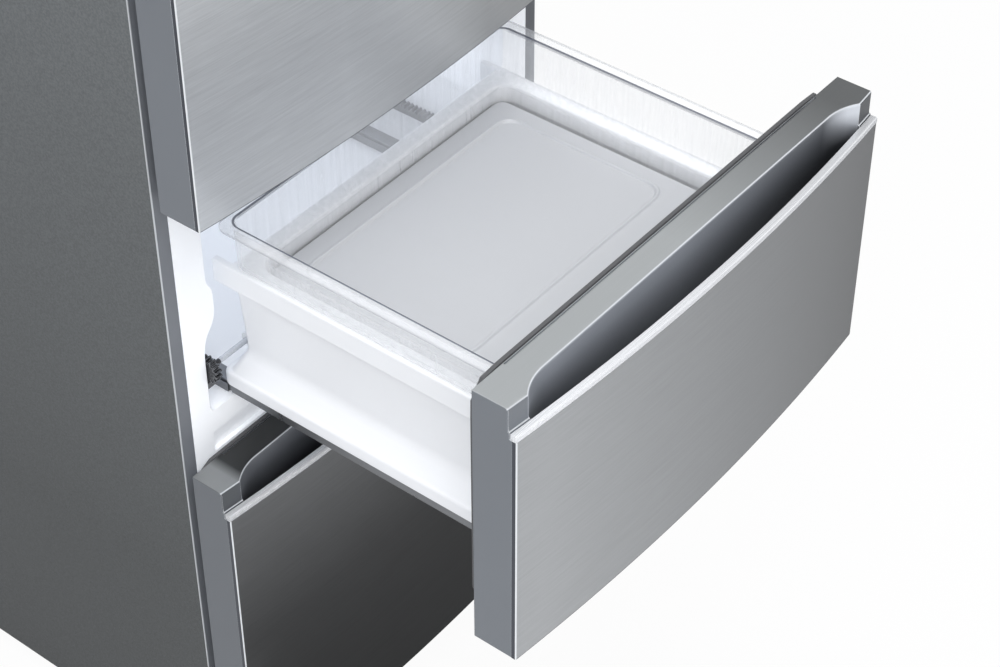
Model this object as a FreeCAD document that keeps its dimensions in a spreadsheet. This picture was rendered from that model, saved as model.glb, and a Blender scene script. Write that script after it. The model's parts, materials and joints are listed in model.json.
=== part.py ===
import FreeCAD, Part
import math
import os
import re
import Sketcher
from FreeCAD import Placement, Rotation, Vector

# Bottom freezer refrigerator: one hinged door above, two freezer drawers below.
# X runs from left to right, Y from front to back and Z up. Depths are measured from the plane of
# the closed doors' backs, and heights from the floor. The middle drawer stands open.

doc = FreeCAD.newDocument("refrigerator")

# ---------------------------------------------------------------- driving dimensions, millimetres

CASE = {
    "case_width": 597.0,            # outside of the steel case
    "case_depth": 572.0,            # front flange to back panel
    "case_top": 1830.0,
    "case_base": 25.0,              # lower edge of the side panels
    "case_sheet": 0.8,
    "back_sheet": 0.8,
    "flange_width": 17.5,           # front return flange seen beside the liner
    "front_gap": 12.0,              # closed door's back to the case's front, filled by the gasket
    "top_wall": 55.0,               # insulation above the fridge compartment
    "rear_wall": 40.0,              # insulation behind the fridge compartment
    "liner_wall": 2.5,
    "side_wall": 46.5,              # insulation and liner beside the compartments
    "low_mullion": 84.0,            # height of the beam between the drawers
    "high_mullion": 76.0,           # height of the beam under the fridge compartment
    "mullion_depth": 24.0,
    "mullion_step": 5.0,            # moulded step in the beam's face
    "lower_floor": 90.0,
    "pan_top": 57.0,                # deck that carries the foam and the machine room
    "pan_sheet": 2.0,
}

FRONTS = {
    "front_overhang": 1.5,          # each side of the fronts past the case
    "front_edge_depth": 51.0,       # door thickness at its side edges
    "front_bow": 15.5,              # how far the middle stands forward of the edges
    "front_radius_out": 2.0,        # rounding of the bright strip
    "lower_base": 61.0,
    "lower_height": 477.0,
    "middle_height": 324.0,
    "low_seam": 16.0,               # gap between the two drawer fronts
    "high_seam": 13.0,              # gap under the upper door
    "door_clearance": 3.0,          # upper door's top below the case's top
    "drawer_opening": 377.0,        # how far the middle drawer stands open
    "panel_sheet": 1.0,
    "panel_fold": 5.0,
    "surround_wall": 3.0,
    "ledge_drop": 10.0,             # ledge face behind the panel's face
    "ledge_step": 27.0,             # ledge top down to the small shelf
    "strip_depth": 8.0,             # bright strip and the lip under it
    "strip_height": 6.6,
    "strip_below_shelf": 1.6,
    "scoop_back": 31.0,
    "scoop_ends": 65.0,             # straight rear edge, from the front's sides
    "scoop_side": 26.5,             # whole recess, from the front's sides
    "scoop_depth": 78.0,
    "groove_side": 45.0,
    "groove_wide": 2.0,
    "groove_inset": 1.0,
    "gasket_inset": 12.0,
    "gasket_top_inset": 8.0,
    "gasket_band": 14.0,
    "gasket_squeeze": 0.3,          # gap between the gasket and the case
    "seat_clearance": 0.1,          # between curved faces that seat on each other
    "core_clearance": 0.3,          # behind the curved panel
    "cap_wall": 3.0,                # between the scoop and the foam
}

GRIP = {
    "grip_rise": 259.0,             # side pocket that opens the upper door, above the door's base
    "grip_length": 330.0,
    "grip_deep": 24.0,
    "grip_wide": 30.0,
    "grip_inset": 10.0,             # behind the door's edge face
    "grip_strip": 1.5,
    "dyke_gap": 12.0,               # raised frame on the door's inner side to the liner
    "dyke_wall": 15.0,
    "dyke_depth": 60.0,
    "bin_height": 95.0,
    "bin_depth": 88.0,
    "bin_wall": 3.0,
    "bin_first": 75.0,              # lowest bin above the dyke's foot
    "bin_headroom": 223.5,          # top bin's floor to the frame's head
    "bin_count": 3,
}

MIDDLE = {
    "upper_inset": 12.0,            # compartment's side walls above the ribs
    "rib_inset": 20.0,              # ribs that stand out beside the open box
    "rib_base": 118.0,              # ribs above the compartment's floor
    "rib_height": 38.0,
    "rib_blend": 22.0,
    "rib_shoulder": 12.0,
    "middle_rear_wall": 74.0,       # compartment's back to the case's back
    "runner_stack": 16.0,           # height taken by the runners under a box
    "runner_inset": 14.0,           # runner's centre inside the plinth's side
    "runner_over": 10.0,            # runner's length past the box's
    "runner_front": 8.0,            # runner's front end behind the case's front
    "runner_wall": 1.5,
    "runner_gap": 0.3,
    "runner_width": 20.0,
    "box_back_gap": 40.0,           # closed box's tail to the evaporator's cover
    "box_tail": 22.0,               # rails and plinth run on behind the box's back
    "box_wall": 5.0,
    "rail_gap": 12.0,               # box's rail to the compartment's rib
    "rail_width": 20.0,
    "rail_height": 28.5,
    "box_headroom": 75.5,           # over the rails, for the basket's rim
    "rail_overhang": 7.0,           # rail past the side wall under it
    "box_draft": 9.0,               # side wall leans in by this down to the plinth
    "plinth_gap": 30.0,             # plinth to the compartment's side
    "plinth_height": 17.0,
    "plinth_flare": 27.0,
}

BASKET = {
    "basket_rim": 57.0,             # rim above the box's rails
    "basket_drop": 20.0,            # floor below the box's rails
    "basket_wall": 2.5,
    "basket_gap": 7.0,              # lower part to the box's walls
    "basket_draft": 3.0,
    "basket_shoulder": 4.0,         # upper walls inside the rails' outer edges
    "rim_over": 11.0,               # rim past the rails
    "basket_front": 12.5,           # behind the drawer front's back, clear of its gasket
    "basket_back_gap": 3.0,         # lower part to the box's rear rail
    "basket_tail_in": 2.0,          # upper part, over the box's rear rail, inside the box's back
    "rim_tail": 7.0,
    "basket_rest": 0.3,
    "rim_thick": 3.0,
    "notch_width": 230.0,
    "notch_deep": 30.0,
    "tray_gap": 1.5,
    "tray_sheet": 1.5,
    "tray_ridge": 3.0,
    "ridge_side": 18.0,             # ridge from the tray's sides, front and back
    "ridge_fore": 96.5,
    "ridge_rear": 22.0,
    "ridge_wide": 6.0,
    "ridge_radius": 22.0,
}

LOWER = {
    "lower_rear_wall": 114.0,       # compartment's back to the case's back
    "room_wall": 27.0,              # between the machine room and the compartment
    "step_wall": 18.0,              # compartment's step above the machine room
    "lower_slope": 30.0,
    "lower_box_gap": 27.0,          # box's back to the compartment's lower back
    "lower_box_headroom": 48.0,
    "lower_box_side": 32.0,         # box to the compartment's side
    "lower_box_wall": 4.0,
    "lower_runner_over": 4.0,
}

DRIVE = {
    "tooth_module": 2.0,            # rack and pinion that keep the middle drawer square
    "pinion_teeth": 14,
    "tooth_out": 0.75,              # tooth height over the pitch line, in modules
    "tooth_in": 1.1,
    "backlash": 0.5,
    "pinion_wide": 9.0,
    "pinion_back": 14.0,            # shaft behind the box's back
    "shaft_radius": 3.0,
    "shaft_height": 56.0,           # above the compartment's floor
    "shaft_clearance": 0.05,
    "rack_wide": 11.0,
    "rack_base": 8.0,
    "ear_inset": 19.0,              # bearing ear inside the box's lower wall
    "ear_thick": 6.0,
    "ear_half": 8.0,
}

FRIDGE = {
    "rib_wide": 10.0,               # shelf ribs on the liner's sides
    "rib_thick": 6.0,
    "glass": 4.0,
    "shelf_front": 128.0,
    "shelf_gap": 40.7,              # shelves to the compartment's back
    "crisper_shelf": 185.0,         # lowest shelf above the compartment's floor
    "shelf_headroom": 172.5,        # top shelf to the compartment's ceiling
    "shelf_count": 4,
    "shelf_play": 1.0,
    "crisper_front": 150.0,
    "crisper_gap": 60.7,            # crisper to the compartment's back
    "crisper_side": 12.0,
    "crisper_height": 168.0,
    "crisper_wall": 3.0,
    "crisper_rest": 0.3,
    "duct_half": 60.0,
    "duct_depth": 24.0,
    "duct_base": 40.0,
    "duct_headroom": 112.5,
    "duct_slot": 8.0,
    "lamp_half": 75.0,
    "lamp_front": 150.0,
    "lamp_length": 70.0,
    "lamp_thick": 12.0,
}

COLD = {
    "cold_room_depth": 70.0,        # evaporator's room behind its cover
    "cover_sheet": 3.0,
    "cover_slot": 6.0,
    "cover_slot_length": 300.0,
    "coil_side": 47.0,              # evaporator to the compartment's sides
    "coil_base": 14.0,              # above the compartment's floor
    "coil_height": 130.0,
    "coil_gap": 8.0,
    "tube_radius": 4.0,
    "header_radius": 5.0,           # pipe along each row's ends
    "riser_radius": 6.0,            # pipe that joins the rows
    "header_inset": 8.0,            # from the coil's end
    "fin_margin": 16.0,             # first fin from the coil's end
    "fin_thick": 1.0,
    "fin_count": 24,
    "tube_rows": 3,
    "fan_radius": 38.0,
    "fan_hub": 13.0,
    "fan_length": 16.0,
    "fan_blades": 5,
    "blade_chord": 25.0,
    "blade_thick": 2.0,
    "blade_angle": 60.0,            # blade's slope from the fan's axis, degrees
    "fan_drop": 53.5,               # evaporator fan's axis below the ceiling
    "fan_gap": 4.0,
    "motor_radius": 17.0,
    "motor_arm": 10.0,
}

MACHINE = {
    "room_depth": 212.0,            # machine room forward of the back
    "room_top": 272.0,
    "compressor_at": -110.0,
    "compressor_radius": 74.0,
    "compressor_dome": 14.0,
    "compressor_height": 135.0,
    "foot_plate": 4.0,
    "foot_plate_half": 78.0,
    "mount_radius": 11.0,
    "mount_height": 18.0,
    "mount_spread": 64.0,
    "mount_bolt": 4.0,
    "dish_half": 80.0,
    "dish_height": 24.0,
    "dish_wall": 2.0,
    "condenser_wide": 132.0,
    "condenser_side": 36.5,         # from the case's side
    "condenser_fore": 38.0,         # from the machine room's front
    "condenser_deep": 130.0,
    "condenser_height": 150.0,
    "blower_radius": 58.0,
    "blower_gap": 18.0,             # condenser fan's face beside the condenser
    "blower_arm": 54.0,             # its motor's foot beside the fan's face
    "blower_height": 78.0,          # above the deck
    "line_radius": 3.0,
    "line_bend": 12.0,
    "drier_radius": 9.0,
    "drier_length": 60.0,
    "discharge_height": 160.0,      # where the lines leave the compressor
    "suction_height": 170.0,
    "discharge_rise": 228.0,        # the discharge line passes over the fan
    "cover_thick": 1.5,
    "louvre_count": 9,
    "louvre_wide": 6.0,
    "louvre_inner": 20.0,
    "louvre_outer": 180.0,
    "inlet_side": 63.5,             # from the case's side
    "inlet_height": 230.0,
    "inlet_wide": 48.0,
    "inlet_tall": 28.0,
    "inlet_deep": 24.0,
    "inlet_wall": 4.0,
    "inlet_blade": 2.0,
    "control_wide": 74.0,
    "control_deep": 130.0,
    "control_tall": 90.0,
}

STAND = {
    "foot_inset": 36.5,             # from the case's side
    "foot_at_y": 60.0,
    "foot_radius": 18.0,
    "foot_disc": 10.0,
    "foot_stem": 5.0,
    "stem_clearance": 0.05,
    "boss_radius": 12.0,
    "boss_base": 32.0,
    "roller_inset": 58.5,
    "roller_rear": 44.0,            # axle from the case's back
    "roller_radius": 20.0,
    "roller_wide": 24.0,
    "axle_radius": 4.0,
    "axle_clearance": 0.05,
    "fork_gap": 1.0,
    "fork_wall": 3.0,
    "kick_top": 56.0,
    "kick_base": 14.0,
    "kick_thick": 6.0,
    "kick_slot": 4.0,
    "kick_slots": 5,
}

HINGE = {
    "pin_inset": 14.0,              # hinge line from the door's side
    "pin_forward": 22.0,            # hinge line in front of the door's back
    "pin_radius": 4.0,
    "pin_clearance": 0.05,
    "pin_reach": 22.0,
    "plate_thick": 4.0,
    "bearing_radius": 7.5,
    "bearing_gap": 0.3,
    "leg_height": 34.0,
    "leg_thick": 3.0,
    "top_plate_wide": 52.0,
    "top_plate_long": 62.0,         # on the case's top, behind its front
    "hood_wall": 2.0,
    "hood_height": 22.0,
    "hood_margin": 4.0,
}

# ------------------------------------------------------------- places that follow from the sizes

PLACES = {
    "case_back": "front_gap + case_depth",
    "front_most": "0 - front_edge_depth - front_bow",
    "front_width": "case_width + 2 * front_overhang",
    "scoop_straight": "front_width - 2 * scoop_ends",
    "scoop_width": "front_width - 2 * scoop_side",
    "groove_length": "front_width - 2 * groove_side",
    "origin_y": "(case_back + front_most - drawer_opening) / 2",
    "case_inner": "case_width / 2 - case_sheet",
    "back_inner": "case_back - back_sheet",
    "flange_edge": "case_width / 2 - flange_width",
    "lower_top": "lower_base + lower_height",
    "middle_base": "lower_top + low_seam",
    "middle_top": "middle_base + middle_height",
    "door_base": "middle_top + high_seam",
    "door_top": "case_top - door_clearance",
    "lower_ceiling": "lower_top + low_seam / 2 - low_mullion / 2",
    "middle_floor": "lower_top + low_seam / 2 + low_mullion / 2",
    "middle_ceiling": "middle_top + high_seam / 2 - high_mullion / 2",
    "fridge_floor": "middle_top + high_seam / 2 + high_mullion / 2",
    "fridge_ceiling": "case_top - top_wall",
    "fridge_back": "back_inner - rear_wall - liner_wall",
    "opening_half": "case_width / 2 - side_wall",
    "upper_opening": "2 * (opening_half - upper_inset)",
    "rib_opening": "2 * (opening_half - rib_inset)",
    "room_front": "case_back - room_depth",
    "middle_back": "case_back - middle_rear_wall",
    "cover_front": "middle_back - cold_room_depth",
    "lower_back": "case_back - lower_rear_wall",
    "lower_low_back": "room_front - room_wall",
    "lower_step": "room_top + step_wall",
    "box_base": "middle_floor + runner_stack",
    "box_length": "cover_front - box_back_gap - box_tail",
    "box_height": "middle_ceiling - box_base - box_headroom",
    "box_half_rail": "rib_opening / 2 - rail_gap",
    "box_half_top": "box_half_rail - rail_overhang",
    "box_half_low": "box_half_top - box_draft",
    "plinth_half": "opening_half - plinth_gap",
    "runner_at": "plinth_half - runner_inset",
    "runner_length": "box_length + runner_over",
    "ear_at": "box_half_low - ear_inset",
    "rail_top": "box_base + box_height",
    "rail_base": "rail_top - rail_height",
    "box_end": "box_length + box_tail",
    "shaft_y": "box_length + pinion_back",
    "shaft_z": "middle_floor + shaft_height",
    "basket_half_low": "box_half_low - box_wall - basket_gap",
    "basket_half_mid": "basket_half_low + basket_draft",
    "basket_half_top": "box_half_rail - basket_shoulder",
    "basket_half_rim": "box_half_rail + rim_over",
    "basket_back": "box_length - rail_width - basket_back_gap",
    "basket_tail": "box_length - basket_tail_in",
    "rim_top": "rail_top + basket_rim",
    "shoulder": "rail_top + basket_rest",
    "basket_floor": "rail_top - basket_drop",
    "tray_base": "basket_floor + basket_wall",
    "ridge_half": "basket_half_low - basket_wall - tray_gap - ridge_side",
    "ridge_front": "basket_front + basket_wall + tray_gap + ridge_fore",
    "ridge_back": "basket_back - basket_wall - tray_gap - ridge_rear",
    "shelf_first": "fridge_floor + crisper_shelf",
    "shelf_spacing": "(fridge_ceiling - shelf_first - shelf_headroom) / (shelf_count - 1)",
    "shelf_back": "fridge_back - shelf_gap",
    "crisper_back": "fridge_back - crisper_gap",
    "crisper_half": "opening_half - crisper_side",
    "duct_height": "fridge_ceiling - duct_headroom - fridge_floor - duct_base",
    "pin_x": "front_width / 2 - pin_inset",
    "pin_y": "0 - pin_forward",
    "hinge_plate": "middle_top + (high_seam - plate_thick) / 2",
    "dyke_foot": "fridge_floor + dyke_gap",
    "dyke_head": "fridge_ceiling - dyke_gap",
    "dyke_half": "opening_half - dyke_gap",
    "bin_spacing": "(dyke_head - dyke_foot - bin_first - bin_headroom) / (bin_count - 1)",
    "grip_base": "door_base + grip_rise",
    "coil_half": "opening_half - coil_side",
    "compressor_y": "(room_front + case_back) / 2",
    "dish_base": "pan_top + mount_height + compressor_height + 2 * compressor_dome",
    "fan_z": "middle_ceiling - fan_drop",
    "condenser_right": "case_width / 2 - condenser_side",
    "condenser_left": "condenser_right - condenser_wide",
    "condenser_front": "room_front + condenser_fore",
    "blower_at": "condenser_left - blower_gap",
    "blower_seat": "blower_at - blower_arm",
    "inlet_at": "inlet_side - case_width / 2",
    "foot_at_x": "case_width / 2 - foot_inset",
    "roller_at_x": "case_width / 2 - roller_inset",
    "roller_at_y": "case_back - roller_rear",
    "blower_z": "pan_top + blower_height",
    "lower_box_base": "lower_floor + runner_stack",
    "lower_box_length": "lower_low_back - lower_box_gap",
    "lower_box_height": "lower_ceiling - lower_box_base - lower_box_headroom",
    "lower_box_half": "opening_half - lower_box_side",
    "lower_runner_length": "lower_box_length + lower_runner_over",
}


def make_sheet(label, rows):
    """A spreadsheet with one named cell for each size."""
    sheet = doc.addObject("Spreadsheet::Sheet", label)
    for number, (alias, text) in enumerate(rows.items(), start=1):
        cell = "B%d" % number
        sheet.set("A%d" % number, alias)
        sheet.set(cell, text)
        sheet.setAlias(cell, alias)
    return sheet


SIZES = {}
for table in (CASE, FRONTS, GRIP, MIDDLE, BASKET, LOWER, DRIVE, FRIDGE, COLD, MACHINE, STAND, HINGE):
    SIZES.update(table)
sizes = make_sheet("sizes", {alias: str(value) for alias, value in SIZES.items()})
OWNER = {alias: "sizes." for alias in SIZES}
OWNER.update({alias: "places." for alias in PLACES})


def ex(text):
    """The expression with each size's name led by the sheet that holds it."""
    return re.sub(r"[a-z_]\w*", lambda word: OWNER.get(word.group(), "") + word.group(), text)


places = make_sheet("places", {
    alias: "=" + ex(text).replace("places.", "") for alias, text in PLACES.items()})
doc.recompute()
value = {alias: float(sizes.get(alias)) for alias in SIZES}
value.update({alias: float(places.get(alias)) for alias in PLACES})

# ------------------------------------------------------------------------- builders for the pieces

NODES = {}
BASE_Y = {}
CASE_SHIFT = "0 - origin_y"
MIDDLE_SHIFT = "0 - origin_y - drawer_opening"
HALF_SHIFT = "0 - origin_y - drawer_opening / 2"
TURN = {"x": Rotation(Vector(0, 1, 0), 90), "y": Rotation(Vector(1, 0, 0), -90), "z": Rotation()}


def bind(item, **texts):
    """Bind an object's properties to expressions on the sheets."""
    for prop, text in texts.items():
        item.setExpression(prop, ex(text))


def set_base(item, at):
    """Bind an object's place, and remember its depth for when it becomes a node."""
    for letter, text in zip("xyz", at):
        item.setExpression("Placement.Base." + letter, ex(text))
    BASE_Y[item.Name] = at[1]


def slab(label, x, y, z):
    """A box between two expressions along each axis."""
    item = doc.addObject("Part::Box", label)
    for prop, (low, high) in zip(("Length", "Width", "Height"), (x, y, z)):
        item.setExpression(prop, ex("(%s) - (%s)" % (high, low)))
    set_base(item, (x[0], y[0], z[0]))
    return item


def both(half):
    """The span from minus to plus an expression."""
    return "0 - (%s)" % half, half


def rod(label, axis, radius, length, at):
    """A cylinder that starts at a point and runs along an axis."""
    item = doc.addObject("Part::Cylinder", label)
    bind(item, Radius=radius, Height=length)
    item.Placement = Placement(Vector(), TURN[axis])
    set_base(item, at)
    return item


def cut(label, base, *tools):
    """The base without the tools."""
    item = doc.addObject("Part::Cut", label)
    item.Base = base
    item.Tool = tools[0] if len(tools) == 1 else fuse(label + "_tools", *tools)
    return item


def fuse(label, *parts):
    """Several overlapping or touching shapes as one."""
    item = doc.addObject("Part::MultiFuse", label)
    item.Shapes = list(parts)
    item.Refine = True
    return item


def group(label, *parts):
    """Several separate solids in one node."""
    item = doc.addObject("Part::Compound", label)
    item.Links = list(parts)
    return item


def profile(label, plane, points, low, high):
    """A body padded from a closed sketch of straight lines, between two depths along its axis."""
    body = doc.addObject("PartDesign::Body", label)
    sketch = body.newObject("Sketcher::SketchObject", label + "_sketch")
    role = {"xz": "XZ_Plane", "yz": "YZ_Plane", "xy": "XY_Plane"}[plane]
    origin_plane = [item for item in body.Origin.OriginFeatures if item.Role == role][0]
    sketch.AttachmentSupport = [(origin_plane, "")]
    sketch.MapMode = "FlatFace"
    count = len(points)
    for index in range(count):
        turn = 2 * math.pi * index / count
        after = 2 * math.pi * (index + 1) / count
        sketch.addGeometry(Part.LineSegment(Vector(100 * math.cos(turn), 100 * math.sin(turn), 0),
                                            Vector(100 * math.cos(after), 100 * math.sin(after), 0)))
    for index in range(count):
        sketch.addConstraint(Sketcher.Constraint("Coincident", index, 2, (index + 1) % count, 1))
    for index, (across, up) in enumerate(points):
        here = sketch.Geometry[index].StartPoint
        for kind, text, now in (("DistanceX", across, here.x), ("DistanceY", up, here.y)):
            number = sketch.addConstraint(Sketcher.Constraint(kind, -1, 1, index, 1, now))
            sketch.setExpression("Constraints[%d]" % number, ex(text))
    pad = body.newObject("PartDesign::Pad", label + "_pad")
    pad.Profile = sketch
    pad.Reversed = plane == "xz"
    bind(pad, Length="(%s) - (%s)" % (high, low))
    start = {"xz": ("0", low, "0"), "yz": (low, "0", "0"), "xy": ("0", "0", low)}[plane]
    set_base(body, start)
    return body


def mirrored_points(points):
    """A right-hand outline from the middle outwards, closed by its mirror image."""
    left = [("0 - (%s)" % across, up) for across, up in reversed(points)]
    return points + left


def drawn(label, shape):
    """A piece whose shape is worked out here from the sheet's values."""
    item = doc.addObject("Part::Feature", label)
    item.Shape = shape
    return item


def node(label, item, shift=CASE_SHIFT):
    """Name a finished piece, and set it from the doors' plane to the part's own origin."""
    item.Label = label
    base = BASE_Y.get(item.Name, "0")
    item.setExpression("Placement.Base.y", ex("%s + %s" % (base, shift)))
    NODES[label] = item


def outline(start, *steps):
    """A flat face: each step is the end of a line, or a point on an arc and the arc's end."""
    edges = []
    here = Vector(start[0], start[1], 0)
    for step in list(steps) + [start]:
        end = Vector(step[-2], step[-1], 0)
        if len(step) == 4:
            edges.append(Part.Arc(here, Vector(step[0], step[1], 0), end).toShape())
        elif (end - here).Length > 1e-6:
            edges.append(Part.LineSegment(here, end).toShape())
        here = end
    return Part.Face(Part.Wire(edges))


def upright(face, low, high):
    """A flat face carried from one height to another."""
    moved = face.translated(Vector(0, 0, low))
    return moved.extrude(Vector(0, 0, high - low))


def block(x, y, z):
    """A plain block between two corners."""
    return Part.makeBox(x[1] - x[0], y[1] - y[0], z[1] - z[0], Vector(x[0], y[0], z[0]))


# ------------------------------------------------------------------------------------ steel case

def make_case():
    """Painted steel wrap, back panel, deck and the three white liners in their foam."""
    depth = ("front_gap", "back_inner")
    height = ("case_base", "case_top")
    skin = ("case_inner", "case_width / 2")
    left_skin = ("0 - case_width / 2", "0 - case_inner")
    flange_y = ("front_gap", "front_gap + case_sheet")
    node("outer_case", fuse(
        "case_wrap",
        slab("case_left", left_skin, depth, height),
        slab("case_right", skin, depth, height),
        slab("case_roof", both("case_width / 2"), depth, ("case_top - case_sheet", "case_top")),
        slab("flange_left", ("0 - case_width / 2", "0 - flange_edge"), flange_y, height),
        slab("flange_right", ("flange_edge", "case_width / 2"), flange_y, height),
        slab("flange_top", both("flange_edge"), flange_y, ("case_top - flange_width", "case_top"))))
    node("back_panel", slab("back_sheet_steel", both("case_width / 2"), ("back_inner", "case_back"),
                            ("room_top", "case_top")))
    make_deck()
    fridge = make_fridge_liner()
    middle = make_middle_liner()
    lower = make_lower_liner()
    make_mullions()
    inner = both("case_inner")
    behind = ("front_gap + liner_wall", "back_inner")
    foam = slab("foam_block", inner, behind, ("pan_top", "case_top - case_sheet"))
    room = slab("foam_room", both("case_width"), ("room_front", "case_back + 1"),
                ("case_base", "room_top"))
    beams = [slab("foam_beam_%s" % name, both("case_width"),
                  ("front_gap - 1", "front_gap + mullion_depth"),
                  (floor + " + liner_wall", roof + " - liner_wall"))
             for name, floor, roof in (("low", "lower_ceiling", "middle_floor"),
                                       ("high", "middle_ceiling", "fridge_floor"))]
    node("cabinet_foam", cut("foam_cut", foam, room,
                             *(beams + fridge + middle + lower + line_channels("foam"))))


def make_deck():
    """Steel deck with skirts, bosses for the feet and forks for the rear rollers."""
    skirt = ("case_base + pan_sheet", "pan_top")
    wide = both("case_inner")
    start = "front_gap + case_sheet"
    plate = slab("deck_plate", wide, (start, "back_inner"), ("pan_top - pan_sheet", "pan_top"))
    front = slab("deck_front", wide, (start, start + " + pan_sheet"), skirt)
    sides = [slab("deck_side_%s" % name, span, (start, "back_inner"), skirt)
             for name, span in (("left", ("0 - case_inner", "pan_sheet - case_inner")),
                                ("right", ("case_inner - pan_sheet", "case_inner")))]
    bosses, bores, forks, axle_bores = [], [], [], []
    for name, sign in (("left", "0 - "), ("right", "")):
        foot_x = sign + "foot_at_x"
        bosses.append(rod("boss_" + name, "z", "boss_radius", "pan_top - boss_base",
                          (foot_x, "foot_at_y", "boss_base")))
        bores.append(rod("boss_bore_" + name, "z", "foot_stem + stem_clearance", "pan_top",
                         (foot_x, "foot_at_y", "0")))
        middle = sign + "roller_at_x"
        for side, step in (("in", "0 - "), ("out", "")):
            near = "%s + %s(roller_wide / 2 + fork_gap)" % (middle, step)
            far = "%s + %s(roller_wide / 2 + fork_gap + fork_wall)" % (middle, step)
            span = (far, near) if step else (near, far)
            forks.append(slab("fork_%s_%s" % (name, side), span,
                              ("roller_at_y - roller_radius * 0.6", "roller_at_y + roller_radius * 0.6"),
                              ("roller_radius - axle_radius - fork_wall", "pan_top - pan_sheet")))
        axle_bores.append(rod("fork_bore_" + name, "x", "axle_radius + axle_clearance / 2",
                              "roller_wide * 2",
                              (middle + " - roller_wide", "roller_at_y", "roller_radius")))
    body = fuse("deck_body", plate, front, *(sides + bosses + forks))
    node("base_pan", cut("deck_cut", body, *(bores + axle_bores)))
    axles = []
    for name, sign in (("left", "0 - "), ("right", "")):
        middle = sign + "roller_at_x"
        reach = "roller_wide / 2 + fork_gap + fork_wall"
        axles.append(rod("axle_" + name, "x", "axle_radius", "2 * (%s)" % reach,
                         ("%s - (%s)" % (middle, reach), "roller_at_y", "roller_radius")))
        wheel = rod("wheel_" + name, "x", "roller_radius", "roller_wide",
                    (middle + " - roller_wide / 2", "roller_at_y", "roller_radius"))
        bore = rod("wheel_bore_" + name, "x", "axle_radius + axle_clearance", "roller_wide * 2",
                   (middle + " - roller_wide", "roller_at_y", "roller_radius"))
        node("rear_roller_" + name, cut("wheel_cut_" + name, wheel, bore))
        foot_x = sign + "foot_at_x"
        disc = rod("foot_disc_" + name, "z", "foot_radius", "foot_disc", (foot_x, "foot_at_y", "0"))
        stem = rod("foot_stem_" + name, "z", "foot_stem", "pan_top - pan_sheet * 2",
                   (foot_x, "foot_at_y", "0"))
        node("front_foot_" + name, fuse("foot_" + name, disc, stem))
    node("roller_axles", group("axle_pair", *axles))
    make_kick_plate()


def make_kick_plate():
    """Plinth under the lower drawer, with air slots."""
    plate = slab("kick_board", both("case_width / 2"), ("front_gap - kick_thick", "front_gap"),
                 ("kick_base", "kick_top"))
    pitch = "(kick_top - kick_base) / (kick_slots + 1)"
    slots = [slab("kick_slot_%d" % number, both("case_width * 0.32"), ("0", "front_gap + 1"),
                  ("kick_base + %s * %d - kick_slot / 2" % (pitch, number),
                   "kick_base + %s * %d + kick_slot / 2" % (pitch, number)))
             for number in range(1, int(value["kick_slots"]) + 1)]
    node("kick_plate", cut("kick_cut", plate, *slots))


def liner_flange(label, floor, roof):
    """White frame between a compartment's mouth and the steel flange."""
    return slab(label, both("flange_edge"), ("front_gap", "front_gap + liner_wall"), (floor, roof))


def make_fridge_liner():
    """Liner of the upper compartment, with ribs that carry the glass shelves."""
    wall = "liner_wall"
    shell = slab("fridge_shell", both("opening_half + liner_wall"),
                 ("front_gap", "fridge_back + " + wall), ("fridge_floor - " + wall,
                                                          "fridge_ceiling + " + wall))
    frame = liner_flange("fridge_frame", "fridge_floor", "case_top - flange_width")
    hollow = slab("fridge_hollow", both("opening_half"), ("0", "fridge_back"),
                  ("fridge_floor", "fridge_ceiling"))
    ribs = []
    for number in range(int(value["shelf_count"])):
        top = "shelf_first + shelf_spacing * %d" % number
        for name, span in (("left", ("0 - opening_half", "rib_wide - opening_half")),
                           ("right", ("opening_half - rib_wide", "opening_half"))):
            ribs.append(slab("shelf_rib_%s_%d" % (name, number), span, ("shelf_front", "shelf_back"),
                             (top + " - rib_thick", top)))
    shell_cut = cut("fridge_shell_cut", fuse("fridge_outside", shell, frame), hollow)
    node("fridge_liner", fuse("fridge_tub", shell_cut, *ribs))
    return [slab("fridge_space", both("opening_half + liner_wall"), ("0", "fridge_back + " + wall),
                 ("fridge_floor - " + wall, "fridge_ceiling + " + wall))]


def middle_mouth(inset="0"):
    """Right half of the middle compartment's section: ribs stand in from the side walls."""
    floor = "middle_floor"
    rib = floor + " + rib_base"
    lower, rib_half, upper = ("%s - %s" % (half, inset) for half in (
        "opening_half", "rib_opening / 2", "upper_opening / 2"))
    return [(lower, floor),
            (lower, rib + " - rib_blend"),
            (rib_half, rib),
            (rib_half, rib + " + rib_height"),
            (upper, rib + " + rib_height + rib_shoulder"),
            (upper, "middle_ceiling - " + inset)]


def make_middle_liner():
    """Liner of the middle compartment, with the racks' seats left plain."""
    wall = "liner_wall"
    outside = slab("middle_shell", both("opening_half + liner_wall"), ("front_gap", "middle_back + " + wall),
                   ("middle_floor - " + wall, "middle_ceiling + " + wall))
    frame = liner_flange("middle_frame", "middle_floor", "middle_ceiling")
    hollow = profile("middle_hollow", "xz", mirrored_points(middle_mouth()), "0", "middle_back")
    node("middle_liner", cut("middle_tub", fuse("middle_outside", outside, frame), hollow,
                             *line_channels("liner")))
    return [slab("middle_space", both("opening_half + liner_wall"), ("0", "middle_back + " + wall),
                 ("middle_floor - " + wall, "middle_ceiling + " + wall))]


def lower_side(grow):
    """Side view of the lower compartment: it deepens above the machine room."""
    return [("0", "lower_floor - " + grow),
            ("lower_low_back + " + grow, "lower_floor - " + grow),
            ("lower_low_back + " + grow, "lower_step"),
            ("lower_back + " + grow, "lower_step + lower_slope"),
            ("lower_back + " + grow, "lower_ceiling + " + grow),
            ("0", "lower_ceiling + " + grow)]


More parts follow.
